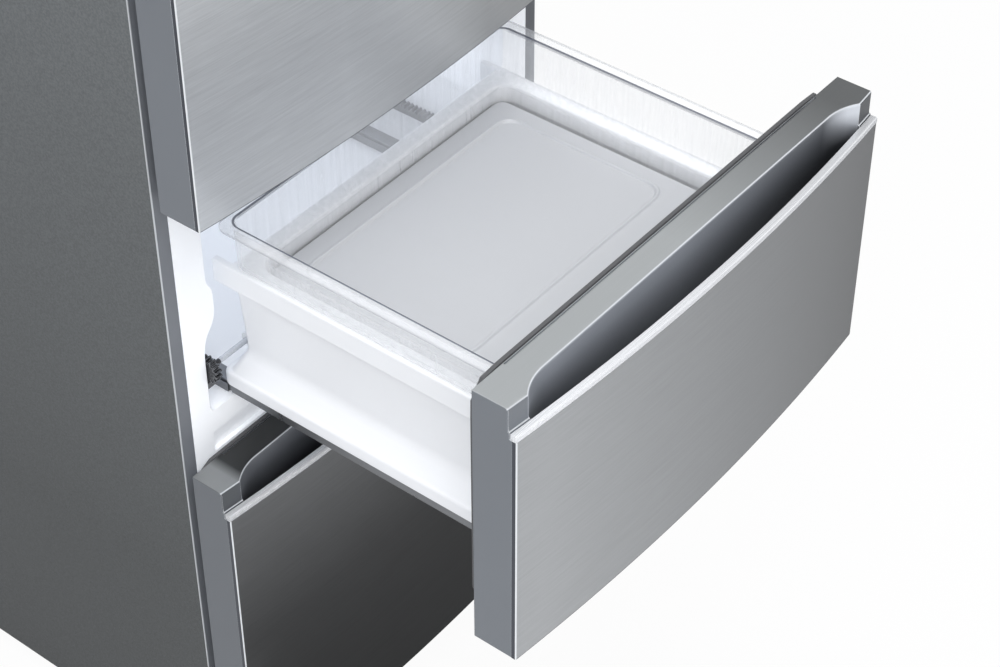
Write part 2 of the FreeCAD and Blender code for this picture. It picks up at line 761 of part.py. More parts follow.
def make_lower_liner():
    """Liner of the lower compartment, stepped over the machine room."""
    half = "opening_half + liner_wall"
    outside = profile("lower_shell", "yz", lower_side("liner_wall"), "0 - (%s)" % half, half)
    trim = slab("lower_front_trim", both("case_width"), ("0 - 1", "front_gap"), ("0", "case_top"))
    frame = liner_flange("lower_frame", "pan_top", "lower_ceiling")
    hollow = profile("lower_hollow", "yz", lower_side("0"), "0 - opening_half", "opening_half")
    body = fuse("lower_outside", cut("lower_shell_cut", outside, trim), frame)
    node("lower_liner", cut("lower_tub", body, hollow))
    return [profile("lower_space", "yz", lower_side("liner_wall"), "0 - (%s)" % half, half)]


def make_mullions():
    """White beams between the compartments, with a moulded step along each face."""
    beams = []
    for name, floor, roof in (("low", "lower_ceiling", "middle_floor"),
                              ("high", "middle_ceiling", "fridge_floor")):
        low, high = floor + " + liner_wall", roof + " - liner_wall"
        beam = slab("beam_" + name, both("flange_edge"), ("front_gap", "front_gap + mullion_depth"),
                    (low, high))
        third = "(%s - (%s)) / 3" % (high, low)
        step = slab("beam_step_" + name, both("opening_half"), ("front_gap - 1", "front_gap + mullion_step"),
                    ("%s + %s" % (low, third), "%s - %s" % (high, third)))
        beams.append(cut("beam_cut_" + name, beam, step))
    node("mullion_rails", group("beam_pair", *beams))


# ----------------------------------------------------------------------------- doors and fronts

def bow_y(x, behind):
    """Depth of the bowed front at x: an arc through the side edges and the middle, set back."""
    half, rise = value["front_width"] / 2, value["front_bow"]
    radius = (half ** 2 + rise ** 2) / (2 * rise)
    return value["front_most"] + radius - math.sqrt(radius ** 2 - x ** 2) + behind


def front_face(half, back, behind):
    """Plan of a piece from a straight back to the bowed front, between plus and minus half."""
    edge = bow_y(half, behind)
    return outline((-half, back), (-half, edge), (0, bow_y(0, behind), half, edge), (half, back))


def bowed_band(half, near, far):
    """Plan of a strip that follows the bow, between two distances behind it."""
    return outline((-half, bow_y(half, near)), (0, bow_y(0, near), half, bow_y(half, near)),
                   (half, bow_y(half, far)), (0, bow_y(0, far), -half, bow_y(half, far)))


def panel_face():
    """Plan of the steel sheet, with its edges folded back along the sides."""
    half = value["front_width"] / 2
    sheet, fold = value["panel_sheet"], bow_y(half, value["panel_fold"])
    inner, inner_edge = half - sheet, bow_y(half - sheet, sheet)
    return outline((-half, fold), (-half, bow_y(half, 0)), (0, bow_y(0, 0), half, bow_y(half, 0)),
                   (half, fold), (inner, fold), (inner, inner_edge),
                   (0, bow_y(0, sheet), -inner, inner_edge), (-inner, fold))


def surround_face():
    """Plan of the grey surround, notched at the front corners for the sheet's folds."""
    half = value["front_width"] / 2
    seat = value["seat_clearance"]
    inner = half - value["panel_sheet"] - seat
    fold = bow_y(half, value["panel_fold"] + seat)
    behind = value["panel_sheet"] + seat
    edge = bow_y(inner, behind)
    return outline((-half, 0), (-half, fold), (-inner, fold), (-inner, edge),
                   (0, bow_y(0, behind), inner, edge), (inner, fold), (half, fold), (half, 0))


def scoop_back_points():
    """The scoop's rear edge: straight, with a tangent arc at each end out to the ledge's face."""
    straight, end = value["scoop_straight"] / 2, value["scoop_width"] / 2
    back = -value["scoop_back"]
    end_y = bow_y(end, value["ledge_drop"])
    run, fall = end - straight, back - end_y
    radius = (run ** 2 + fall ** 2) / (2 * fall)
    half_turn = math.asin(run / radius) / 2
    mid_x = straight + radius * math.sin(half_turn)
    mid_y = back - radius * (1 - math.cos(half_turn))
    return straight, end, back, end_y, mid_x, mid_y


def scoop_cuts(top):
    """What is taken out of a drawer's surround: open front, deep pocket, strip seat and groove."""
    straight, end, back, end_y, mid_x, mid_y = scoop_back_points()
    half = value["front_width"] / 2
    far_x, far_y = half * 1.1, value["front_most"] * 1.5
    side_y = bow_y(half, value["ledge_drop"])
    shelf = top - value["ledge_step"]
    strip = shelf - value["strip_below_shelf"] - value["strip_height"]
    over = top + value["ledge_step"]
    open_front = outline((-far_x, side_y), (-half, side_y), (-end, end_y),
                         (-mid_x, mid_y, -straight, back), (straight, back),
                         (mid_x, mid_y, end, end_y), (half, side_y), (far_x, side_y),
                         (far_x, far_y), (-far_x, far_y))
    lip = value["strip_depth"]
    pocket = outline((-end, end_y), (-mid_x, mid_y, -straight, back), (straight, back),
                     (mid_x, mid_y, end, end_y), (end, bow_y(end, lip)),
                     (0, bow_y(0, lip), -end, bow_y(end, lip)))
    seat = outline((-far_x, bow_y(half, lip)), (-half, bow_y(half, lip)),
                   (0, bow_y(0, lip), half, bow_y(half, lip)), (far_x, bow_y(half, lip)),
                   (far_x, far_y), (-far_x, far_y))
    groove_x = value["groove_length"] / 2
    groove_y = -value["groove_inset"]
    groove = block((-groove_x, groove_x), (groove_y - value["groove_wide"], groove_y),
                   (top - value["groove_wide"], over))
    return [upright(open_front, shelf, over), upright(pocket, top - value["scoop_depth"], over),
            upright(seat, strip, over), groove]


def core_spaces(base, top, scooped):
    """Spaces inside a surround that the foamed core fills, as spans in Y and Z."""
    wall, cap = value["surround_wall"], value["cap_wall"]
    if not scooped:
        return [(None, base + wall, top - wall)]
    under = top - value["scoop_depth"] - cap
    return [(None, base + wall, under), (cap - value["scoop_back"], under, top - wall)]


def make_front(label, base, top, shift, scooped=True, extra=(), slices=(), surround_cuts=(),
               keep=()):
    """Steel panel, grey surround, bright strip, foamed core and gasket of one door or drawer."""
    wall = value["surround_wall"]
    half = value["front_width"] / 2
    inner = half - wall
    shelf = top - value["ledge_step"]
    strip_top = shelf - value["strip_below_shelf"]
    panel_top = strip_top - value["strip_height"] if scooped else top
    node(label + "_panel", drawn(label + "_sheet", upright(panel_face(), base, panel_top)), shift)
    surround = upright(surround_face(), base, top)
    core = []
    for front, low, high in core_spaces(base, top, scooped):
        far = value["front_most"] * 1.5 if front is None else front
        hollow = block((-inner, inner), (far, 1), (low, high))
        surround = surround.cut(hollow)
        behind = value["panel_sheet"] + value["core_clearance"]
        face = front_face(inner, 0, behind) if front is None else outline(
            (-inner, 0), (-inner, front), (inner, front), (inner, 0))
        core.append(upright(face, low, high))
    surround = surround.fuse(list(keep)) if keep else surround
    for tool in (scoop_cuts(top) if scooped else []) + list(surround_cuts):
        surround = surround.cut(tool)
    body = core[0].fuse(core[1:]) if core[1:] else core[0]
    for tool in list(keep) + list(surround_cuts):
        body = body.cut(tool)
    body = body.removeSplitter()
    solids = [body.common(tool) for tool in slices] or [body]
    node(label + "_surround", drawn(label + "_frame", surround.removeSplitter()), shift)
    node(label + "_core", drawn(label + "_foam", Part.makeCompound(solids + list(extra))), shift)
    if scooped:
        band = upright(bowed_band(half, 0, value["strip_depth"] - value["seat_clearance"]),
                       panel_top, strip_top)
        front_top = [edge for edge in band.Edges
                     if edge.BoundBox.ZLength < 1e-3 and abs(edge.BoundBox.ZMax - strip_top) < 1e-3
                     and edge.Length > half and edge.BoundBox.YMin < value["front_most"] + 1e-3]
        rounded = band.makeFillet(value["front_radius_out"], front_top)
        node(label + "_strip", drawn(label + "_trim", rounded), shift)
    make_gasket(label, base, top, shift)


def make_gasket(label, base, top, shift):
    """Square rubber ring on the back of a door, almost touching the case."""
    outer = value["front_width"] / 2 - value["gasket_inset"]
    inner = outer - value["gasket_band"]
    low, high = base + value["gasket_top_inset"], top - value["gasket_top_inset"]
    band = value["gasket_band"]
    depth = (0, value["front_gap"] - value["gasket_squeeze"])
    ring = block((-outer, outer), depth, (low, high)).cut(
        block((-inner, inner), (-1, depth[1] + 1), (low + band, high - band)))
    node(label + "_gasket", drawn(label + "_seal", ring), shift)


def bar(axis, radius, low, high, across, up):
    """A round bar along X, Y or Z between two ends, at the other two coordinates."""
    start = {"x": Vector(low, across, up), "y": Vector(across, low, up),
             "z": Vector(across, up, low)}[axis]
    direction = {"x": Vector(1, 0, 0), "y": Vector(0, 1, 0), "z": Vector(0, 0, 1)}[axis]
    return Part.makeCylinder(radius, high - low, start, direction)


def make_upper_door():
    """Hinged door: side pocket to pull, hinge bores, raised frame and bins inside."""
    base, top = value["door_base"], value["door_top"]
    half = value["front_width"] / 2
    low, high = value["grip_base"], value["grip_base"] + value["grip_length"]
    front = value["grip_inset"] - value["front_edge_depth"]
    back = front + value["grip_wide"]
    round_end = value["grip_wide"] / 2
    deep = value["grip_deep"] - half
    middle_y = (front + back) / 2
    pocket = block((-half - 1, deep), (front, back), (low + round_end, high - round_end)).fuse(
        [bar("x", round_end, -half - 1, deep, middle_y, low + round_end),
         bar("x", round_end, -half - 1, deep, middle_y, high - round_end)])
    wall = value["cap_wall"]
    seam = deep + wall
    inner = half - value["surround_wall"]
    behind = value["panel_sheet"] + value["core_clearance"]
    deepest = value["front_most"]
    housing = upright(front_face(inner, 0, behind), low - wall, high + wall).common(
        block((-half, seam), (deepest, 0), (low - wall, high + wall)))
    slices = [block((seam, half), (deepest, 0), (base, top)),
              block((-half, seam), (deepest, 0), (base, low - wall)),
              block((-half, seam), (deepest, 0), (high + wall, top))]
    reach = value["pin_reach"]
    bore = value["pin_radius"] + value["pin_clearance"]
    bores = [bar("z", bore, top - reach - 1, top + 1, value["pin_x"], value["pin_y"]),
             bar("z", bore, base - 1, base + reach + 1, value["pin_x"], value["pin_y"])]
    dyke_half, dyke_wall = value["dyke_half"], value["dyke_wall"]
    foot, head = value["dyke_foot"], value["dyke_head"]
    dyke = block((-dyke_half, dyke_half), (0, value["dyke_depth"]), (foot, head)).cut(
        block((dyke_wall - dyke_half, dyke_half - dyke_wall), (-1, value["dyke_depth"] + 1),
              (foot + dyke_wall, head - dyke_wall)))
    make_front("fridge_door", base, top, CASE_SHIFT, scooped=False, extra=[dyke],
               slices=slices, keep=[housing], surround_cuts=[pocket] + bores)
    strip = value["grip_strip"]
    node("fridge_door_strip", drawn("grip_lining", block(
        (-half, deep), (front, front + strip), (low + round_end, high - round_end))))
    bins = []
    inside = dyke_half - dyke_wall
    edge = value["bin_wall"]
    for number in range(int(value["bin_count"])):
        floor = foot + value["bin_first"] + value["bin_spacing"] * number
        roof = floor + value["bin_height"]
        bins.append(block((-inside, inside), (0, value["bin_depth"]), (floor, roof)).cut(
            block((edge - inside, inside - edge), (edge, value["bin_depth"] - edge),
                  (floor + edge, roof + 1))))
    node("door_bins", drawn("bin_set", Part.makeCompound(bins)))


def make_fronts():
    """The three fronts, from the top down."""
    make_upper_door()
    make_front("middle_front", value["middle_base"], value["middle_top"], MIDDLE_SHIFT)
    make_front("lower_front", value["lower_base"], value["lower_top"], CASE_SHIFT)


# --------------------------------------------------------------------------- drawers and runners

def make_middle_box():
    """White box: top rails that run on behind, drafted walls, flared plinth, ears for the shaft."""
    flare_top = "box_base + plinth_height + plinth_flare"
    outer = [("plinth_half", "box_base"), ("plinth_half", "box_base + plinth_height"),
             ("box_half_low", flare_top), ("box_half_top", "rail_base"),
             ("box_half_rail", "rail_base"), ("box_half_rail", "rail_top")]
    inner = [("box_half_low - box_wall", "box_base + box_wall"),
             ("box_half_low - box_wall", flare_top),
             ("box_half_top - box_wall", "rail_base - box_wall"),
             ("box_half_rail - rail_width", "rail_base + box_wall"),
             ("box_half_rail - rail_width", "rail_top + 1")]
    shell = profile("box_outside", "xz", mirrored_points(outer), "0", "box_length")
    hollow = profile("box_hollow", "xz", mirrored_points(inner), "box_wall", "box_length - box_wall")
    tub = cut("box_tub", shell, hollow)
    rear_rail = slab("box_rear_rail", both("box_half_rail - rail_width"),
                     ("box_length - rail_width", "box_length"), ("rail_base", "rail_top"))
    tail = ("box_length", "box_end")
    parts = [rear_rail, slab("plinth_tail", both("plinth_half"), tail,
                             ("box_base", "box_base + plinth_height"))]
    bores = []
    for name, sign in (("left", "0 - "), ("right", "")):
        rail = ("box_half_top", "box_half_rail") if not sign else ("0 - box_half_rail",
                                                                   "0 - box_half_top")
        parts.append(slab("rail_tail_" + name, rail, tail, ("rail_base", "rail_top")))
        ear = sign + "ear_at"
        parts.append(slab("ear_" + name, (ear + " - ear_thick / 2", ear + " + ear_thick / 2"),
                          ("box_length - box_wall / 2", "shaft_y + ear_half"),
                          ("shaft_z - ear_half", "shaft_z + ear_half")))
        bores.append(rod("ear_bore_" + name, "x", "shaft_radius + shaft_clearance", "ear_thick * 2",
                         (ear + " - ear_thick", "shaft_y", "shaft_z")))
    node("middle_box", cut("middle_box_cut", fuse("middle_box_body", tub, *parts), *bores),
         MIDDLE_SHIFT)


def make_lower_box():
    """Deep white box of the lower drawer, with a rolled rim."""
    base, top = "lower_box_base", "lower_box_base + lower_box_height"
    rim = "lower_box_wall * 3"
    outer = [("lower_box_half - lower_box_wall", base),
             ("lower_box_half - lower_box_wall", top + " - " + rim),
             ("lower_box_half", top + " - " + rim), ("lower_box_half", top)]
    shell = profile("lower_box_outside", "xz", mirrored_points(outer), "0", "lower_box_length")
    hollow = slab("lower_box_hollow", both("lower_box_half - lower_box_wall * 2"),
                  ("lower_box_wall", "lower_box_length - lower_box_wall"),
                  (base + " + lower_box_wall", top + " + 1"))
    node("lower_box", cut("lower_box_cut", shell, hollow))


def runner_set(label, floor, length):
    """Fixed, middle and moving members of a drawer's two runners, nested with a small gap."""
    half, wall, gap = "runner_width / 2", "runner_wall", "runner_gap"
    start = "front_gap + runner_front"
    fixed, middle, moving = [], [], []
    for name, at in (("left", "0 - runner_at"), ("right", "runner_at")):
        tag = "%s_%s" % (label, name)

        def span(reach):
            return "%s - (%s)" % (at, reach), "%s + %s" % (at, reach)

        channel = slab("channel_" + tag, span(half), (start, "%s + %s" % (start, length)),
                       (floor, floor + " + runner_stack * 0.7"))
        trough = slab("trough_" + tag, span("%s - %s" % (half, wall)),
                      (start + " - 1", "%s + %s + 1" % (start, length)),
                      ("%s + %s" % (floor, wall), floor + " + runner_stack"))
        fixed.append(cut("fixed_" + tag, channel, trough))
        middle.append(slab("member_" + tag, span("%s - %s - %s" % (half, wall, gap)),
                           (start, "%s + %s" % (start, length)),
                           ("%s + %s + %s" % (floor, wall, gap),
                            "%s + runner_stack - %s - %s" % (floor, wall, gap))))
        cap_y = ("runner_wall", "runner_wall + " + length)
        cap = slab("cap_" + tag, span("%s + %s + %s" % (half, gap, wall)), cap_y,
                   (floor + " + runner_stack * 0.3", floor + " + runner_stack"))
        inside = slab("cap_inside_" + tag, span("%s + %s" % (half, gap)),
                      ("0", "runner_wall * 2 + " + length),
                      (floor, "%s + runner_stack - %s" % (floor, wall)))
        moving.append(cut("moving_" + tag, cap, inside))
    return fixed, middle, moving


def tooth_flank():
    """Points from root to tip on one side of a pinion tooth, an involute, as angle and radius."""
    module, teeth = value["tooth_module"], int(value["pinion_teeth"])
    pitch = module * teeth / 2
    base = pitch * math.cos(math.radians(20))
    tip = pitch + module * value["tooth_out"]
    half = math.pi / (2 * teeth) - value["backlash"] / (4 * pitch)

    def involute(radius):
        angle = math.acos(base / radius)
        return math.tan(angle) - angle

    steps = 5
    radii = [base + (tip - base) * number / (steps - 1) for number in range(steps)]
    flank = [(half + involute(pitch) - involute(radius), radius) for radius in radii]
    return [(flank[0][0], pitch - module * value["tooth_in"])] + flank


def make_drive():
    """Cross shaft with a pinion at each end, and the racks on the liner's walls under them."""
    teeth = int(value["pinion_teeth"])
    pitch = value["tooth_module"] * teeth / 2
    flank = tooth_flank()
    points = []
    for number in range(teeth):
        centre = 2 * math.pi * number / teeth - math.pi / 2
        tooth = [(-angle, radius) for angle, radius in flank]
        tooth += [(angle, radius) for angle, radius in reversed(flank)]
        points += [(centre + angle, radius) for angle, radius in tooth]
    wire = [Vector(0, value["shaft_y"] + radius * math.cos(angle),
                   value["shaft_z"] + radius * math.sin(angle)) for angle, radius in points]
    gear = Part.Face(Part.makePolygon(wire + [wire[0]]))
    wide = value["pinion_wide"]
    outer = value["opening_half"] - (value["rack_wide"] - wide) / 2
    shaft = bar("x", value["shaft_radius"], -outer, outer, value["shaft_y"], value["shaft_z"])
    gears = [gear.translated(Vector(start, 0, 0)).extrude(Vector(wide, 0, 0))
             for start in (-outer, outer - wide)]
    node("pinion_shaft", drawn("pinion_pair", shaft.fuse(gears)), MIDDLE_SHIFT)
    return [rack(side, pitch) for side in (-1, 1)]


def rack(side, pitch):
    """A toothed strip on one side wall, with a gap between teeth under the open drawer's pinion."""
    step = math.pi * value["tooth_module"]
    line = value["shaft_z"] - pitch
    rise = value["tooth_module"] * value["tooth_out"]
    fall = value["tooth_module"] * value["tooth_in"]
    slope = math.tan(math.radians(20))
    half = step / 4 - value["backlash"] / 4
    first = value["shaft_y"] - value["drawer_opening"]
    count = int((value["drawer_opening"] + 2 * pitch) / step)
    start, end = value["front_gap"] + 1, first + step * (count + 0.5)
    points = [(start, line - fall - value["rack_base"]), (start, line - fall)]
    for number in range(count):
        centre = first + step * (number + 0.5)
        points += [(centre - half - fall * slope, line - fall), (centre - half + rise * slope, line + rise),
                   (centre + half - rise * slope, line + rise), (centre + half + fall * slope, line - fall)]
    points += [(end, line - fall), (end, line - fall - value["rack_base"])]
    wall = side * value["opening_half"]
    wire = [Vector(wall, y, z) for y, z in points if y >= start]
    strip = Part.Face(Part.makePolygon(wire + [wire[0]]))
    return drawn("rack_%s" % ("left" if side < 0 else "right"),
                 strip.extrude(Vector(-side * value["rack_wide"], 0, 0)))


def make_runners():
    """Runners of both drawers, and the racks that guide the middle one."""
    fixed, middle, moving = runner_set("upper", "middle_floor", "runner_length")
    low_fixed, low_middle, low_moving = runner_set("lower", "lower_floor", "lower_runner_length")
    node("fixed_runners", group("fixed_set", *(fixed + low_fixed + make_drive())))
    node("middle_runner_members", group("member_set", *middle), HALF_SHIFT)
    node("lower_runner_members", group("lower_member_set", *low_middle))
    node("middle_drawer_runners", group("moving_set", *moving), MIDDLE_SHIFT)
    node("lower_drawer_runners", group("lower_moving_set", *low_moving))


def make_basket():
    """Clear basket that stands on the box's rails by its shoulders, with a finger notch in front."""
    wall, floor, step = "basket_wall", "basket_floor", "shoulder"
    under_rim = "rim_top - rim_thick"
    lower = profile("basket_low", "xz", mirrored_points([
        ("basket_half_low", floor), ("basket_half_mid", step + " + " + wall)]),
        "basket_front", "basket_back")
    upper = profile("basket_high", "xz", mirrored_points([
        ("basket_half_top", step), ("basket_half_top + " + wall, under_rim),
        ("basket_half_rim", under_rim), ("basket_half_rim", "rim_top")]),
        "basket_front", "basket_tail")
    low_inside = profile("basket_low_inside", "xz", mirrored_points([
        ("basket_half_low - " + wall, floor + " + " + wall),
        ("basket_half_mid - " + wall, "%s + %s + 1" % (step, wall))]),
        "basket_front + " + wall, "basket_back - " + wall)
    high_inside = profile("basket_high_inside", "xz", mirrored_points([
        ("basket_half_top - " + wall, "%s + %s" % (step, wall)), ("basket_half_top", "rim_top + 1")]),
        "basket_front + " + wall, "basket_tail - " + wall)
    rear_rim = slab("basket_rear_rim", both("basket_half_rim"), ("basket_tail", "basket_tail + rim_tail"),
                    (under_rim, "rim_top"))
    notch = slab("basket_notch", both("notch_width / 2"), ("0", "basket_front + %s * 2" % wall),
                 ("rim_top - notch_deep", "rim_top + 1"))
    body = fuse("basket_body", lower, upper, rear_rim)
    node("clear_basket", cut("basket_cut", body, low_inside, high_inside, notch), MIDDLE_SHIFT)


def rounded_rectangle(half, front, back, radius):
    """Plan of a rectangle with rounded corners."""
    lean = radius * (1 - math.sqrt(0.5))
    return outline((radius - half, front), (half - radius, front),
                   (half - lean, front + lean, half, front + radius), (half, back - radius),
                   (half - lean, back - lean, half - radius, back), (radius - half, back),
                   (lean - half, back - lean, -half, back - radius), (-half, front + radius),
                   (lean - half, front + lean, radius - half, front))


def make_tray():
    """Metal cooling tray in the basket, with a raised ridge round the middle."""
    gap, wall = value["tray_gap"], value["basket_wall"]
    half = value["basket_half_low"] - wall - gap
    front, back = value["basket_front"] + wall + gap, value["basket_back"] - wall - gap
    base = value["tray_base"] + value["basket_rest"]
    top = base + value["tray_sheet"]
    radius, wide = value["ridge_radius"], value["ridge_wide"]
    plate = upright(rounded_rectangle(half, front, back, radius / 2), base, top)
    ridge = upright(rounded_rectangle(value["ridge_half"], value["ridge_front"], value["ridge_back"],
                                      radius), top, top + value["tray_ridge"])
    hollow = upright(rounded_rectangle(value["ridge_half"] - wide, value["ridge_front"] + wide,
                                       value["ridge_back"] - wide, radius - wide),
                     top, top + value["tray_ridge"])
    node("cooling_tray", drawn("tray_plate", plate.fuse(ridge.cut(hollow))), MIDDLE_SHIFT)


# ------------------------------------------------------------------------- fridge compartment

def make_fridge_inside():
    """Glass shelves on their ribs, the crisper under the lowest, the rear duct and the lamp."""
    shelves = []
    for number in range(int(value["shelf_count"])):
        top = "shelf_first + shelf_spacing * %d" % number
        shelves.append(slab("shelf_%d" % number, both("opening_half - shelf_play"),
                            ("shelf_front", "shelf_back"), (top, top + " + glass")))
    node("glass_shelves", group("shelf_set", *shelves))
    floor = "fridge_floor + crisper_rest"
    roof = floor + " + crisper_height"
    wall = "crisper_wall"
    outside = slab("crisper_outside", both("crisper_half"), ("crisper_front", "crisper_back"),
                   (floor, roof))
    inside = slab("crisper_inside", both("crisper_half - crisper_wall"),
                  ("crisper_front + " + wall, "crisper_back - " + wall),
                  ("%s + %s" % (floor, wall), roof + " + 1"))
    node("crisper", cut("crisper_cut", outside, inside))
    base, top = "fridge_floor + duct_base", "fridge_floor + duct_base + duct_height"
    duct = slab("duct_block", both("duct_half"), ("fridge_back - duct_depth", "fridge_back"), (base, top))
    channel = slab("duct_channel", both("duct_half - crisper_wall"),
                   ("fridge_back - duct_depth + crisper_wall", "fridge_back + 1"),
                   ("%s + %s" % (base, wall), "%s - %s" % (top, wall)))
    slots = []
    for number in range(int(value["shelf_count"])):
        middle = "shelf_first + shelf_spacing * %d - shelf_spacing / 2" % number
        slots.append(slab("duct_slot_%d" % number, both("duct_half * 0.6"),
                          ("fridge_back - duct_depth - 1", "fridge_back - duct_depth + crisper_wall + 1"),
                          ("%s - duct_slot / 2" % middle, "%s + duct_slot / 2" % middle)))
    node("air_duct", cut("duct_cut", duct, channel, *slots))
    lamp = drawn("lamp_block", block(
        (-value["lamp_half"], value["lamp_half"]),
        (value["lamp_front"], value["lamp_front"] + value["lamp_length"]),
        (value["fridge_ceiling"] - value["lamp_thick"], value["fridge_ceiling"])))
    lower = [edge for edge in lamp.Shape.Edges
             if edge.BoundBox.ZMax < value["fridge_ceiling"] - 1e-3]
    lamp.Shape = lamp.Shape.makeFillet(value["lamp_thick"] / 3, lower)
    node("ceiling_lamp", lamp)


# ------------------------------------------------------------------------- cold air and machine room

def fin_starts(span):
    """Where each fin of a coil starts along its tubes."""
    count = int(value["fin_count"])
    low, high = span[0] + value["fin_margin"], span[1] - value["fin_margin"] - value["fin_thick"]
    return [low + (high - low) * number / (count - 1) for number in range(count)]


def coil(axis, span, deep, tall, tubes_deep):
    """A finned coil: rows of straight tubes joined by bends, through a set of thin fins."""
    thick, rows = value["fin_thick"], int(value["tube_rows"])
    ends = span[0] + value["header_inset"], span[1] - value["header_inset"]
    side = "y" if axis == "x" else "x"

    def placed(along, across):
        return (along, across) if axis == "x" else (across, along)

    pieces = [block(*placed((start, start + thick), deep), tall) for start in fin_starts(span)]
    deep_step = (deep[1] - deep[0]) / tubes_deep
    tall_step = (tall[1] - tall[0]) / rows
    first, last = deep[0] + deep_step / 2, deep[1] - deep_step / 2
    for row in range(rows):
        up = tall[0] + tall_step * (row + 0.5)
        for place in range(tubes_deep):
            pieces.append(bar(axis, value["tube_radius"], *ends, first + deep_step * place, up))
        pieces += [bar(side, value["header_radius"], first, last, at, up) for at in ends]
    for at in ends:
        pieces.append(bar("z", value["riser_radius"], tall[0] + tall_step / 2, tall[1] - tall_step / 2,
                          *placed(at, first)))
    return pieces[0].fuse(pieces[1:])


def fan(axis, hub_centre, radius, length):
    """Hub with flat blades set at an angle, round an axis through the hub's middle."""
    hub = value["fan_hub"]
    pieces = []
    count = int(value["fan_blades"])
    chord, thick = value["blade_chord"], value["blade_thick"]
    for number in range(count):
        blade = Part.makeBox(chord, thick, radius - hub / 2, Vector(-chord / 2, -thick / 2, hub / 2))
        blade.rotate(Vector(), Vector(0, 0, 1), value["blade_angle"])
        blade.rotate(Vector(), Vector(1, 0, 0), 360 * number / count)
        pieces.append(blade)
    wheel = bar("x", hub, -length / 2, length / 2, 0, 0).fuse(pieces)
    wheel = wheel.cut(bar("x", value["axle_radius"] / 2 + value["axle_clearance"], -length,
                          length * 0.3, 0, 0))
    if axis == "y":
        wheel.rotate(Vector(), Vector(0, 0, 1), -90)
    wheel.translate(hub_centre)
    return wheel.removeSplitter()


def make_cold_parts():
    """Evaporator on its brackets, its cover with the air slots, fan and motor behind it."""
    floor = value["middle_floor"]
    front, back = value["cover_front"], value["middle_back"]
    slot = "cover_slot"
    plate = profile("cover_plate", "xz", mirrored_points(middle_mouth("seat_clearance")),
                    "cover_front", "cover_front + cover_sheet")
    slots = [slab("cover_slot_%d" % number, both("cover_slot_length / 2"),
                  ("cover_front - 1", "cover_front + cover_sheet + 1"),
                  ("middle_ceiling - %s * %d" % (slot, 4 + 2 * number),
                   "middle_ceiling - %s * %d" % (slot, 3 + 2 * number)))
             for number in range(3)]
    node("evaporator_cover", cut("cover_cut", plate, *slots))
    gap = value["coil_gap"]
    deep = (front + value["cover_sheet"] + gap, back - gap)
    low = floor + value["coil_base"]
    half = value["coil_half"]
    body = coil("x", (-half, half), deep, (low, low + value["coil_height"]), 3)
    fins = fin_starts((-half, half))
    inwards = len(fins) // 4
    legs = [block((fin + (value["fin_thick"] - gap) / 2, fin + (value["fin_thick"] + gap) / 2),
                  (deep[1] - 1, back), (low + gap, low + value["coil_height"] - gap))
            for fin in (fins[inwards - 1], fins[-inwards])]
    evaporator = body.fuse(legs)
    node("evaporator", drawn("evaporator_coil", evaporator))
    fan_front = front + value["cover_sheet"] + value["fan_gap"]
    motor = motor_and_fan("y", Vector(0, back, value["fan_z"]), fan_front, value["fan_radius"],
                          "evaporator_fan")
    return evaporator, motor


def motor_and_fan(axis, seat, fan_front, radius, label):
    """A motor whose flange seats behind it, and the fan on its shaft in front."""
    length = value["fan_length"]
    shaft = value["axle_radius"] / 2
    arm = value["motor_arm"]
    step = value["fan_gap"]
    if axis == "y":
        centre = Vector(seat.x, fan_front + length / 2, seat.z)
        start, end = fan_front + length + step, seat.y
        body = bar("y", value["motor_radius"], start, end, seat.x, seat.z)
        pin = bar("y", shaft, centre.y, start + 1, seat.x, seat.z)
        brace = block((seat.x - radius, seat.x + radius), (end - step, end),
                      (seat.z - arm / 2, seat.z + arm / 2))
    else:
        centre = Vector(fan_front - length / 2, seat.y, seat.z)
        start, end = fan_front - length - step, seat.x
        body = bar("x", value["motor_radius"], end, start, seat.y, seat.z)
        pin = bar("x", shaft, start - 1, centre.x, seat.y, seat.z)
        brace = block((end, end + arm), (seat.y - arm, seat.y + arm), (value["pan_top"], seat.z))
    node(label, drawn(label + "_wheel", fan(axis, centre, radius, length)))
    return drawn(label + "_motor", body.fuse([pin, brace]).removeSplitter())


def revolved(points, centre):
    """A solid of revolution about a vertical axis, from radius and height."""
    wire = [Vector(radius, 0, height) for radius, height in points]
    face = Part.Face(Part.makePolygon(wire + [wire[0]]))
    solid = face.revolve(Vector(), Vector(0, 0, 1), 360)
    solid.translate(centre)
    return solid


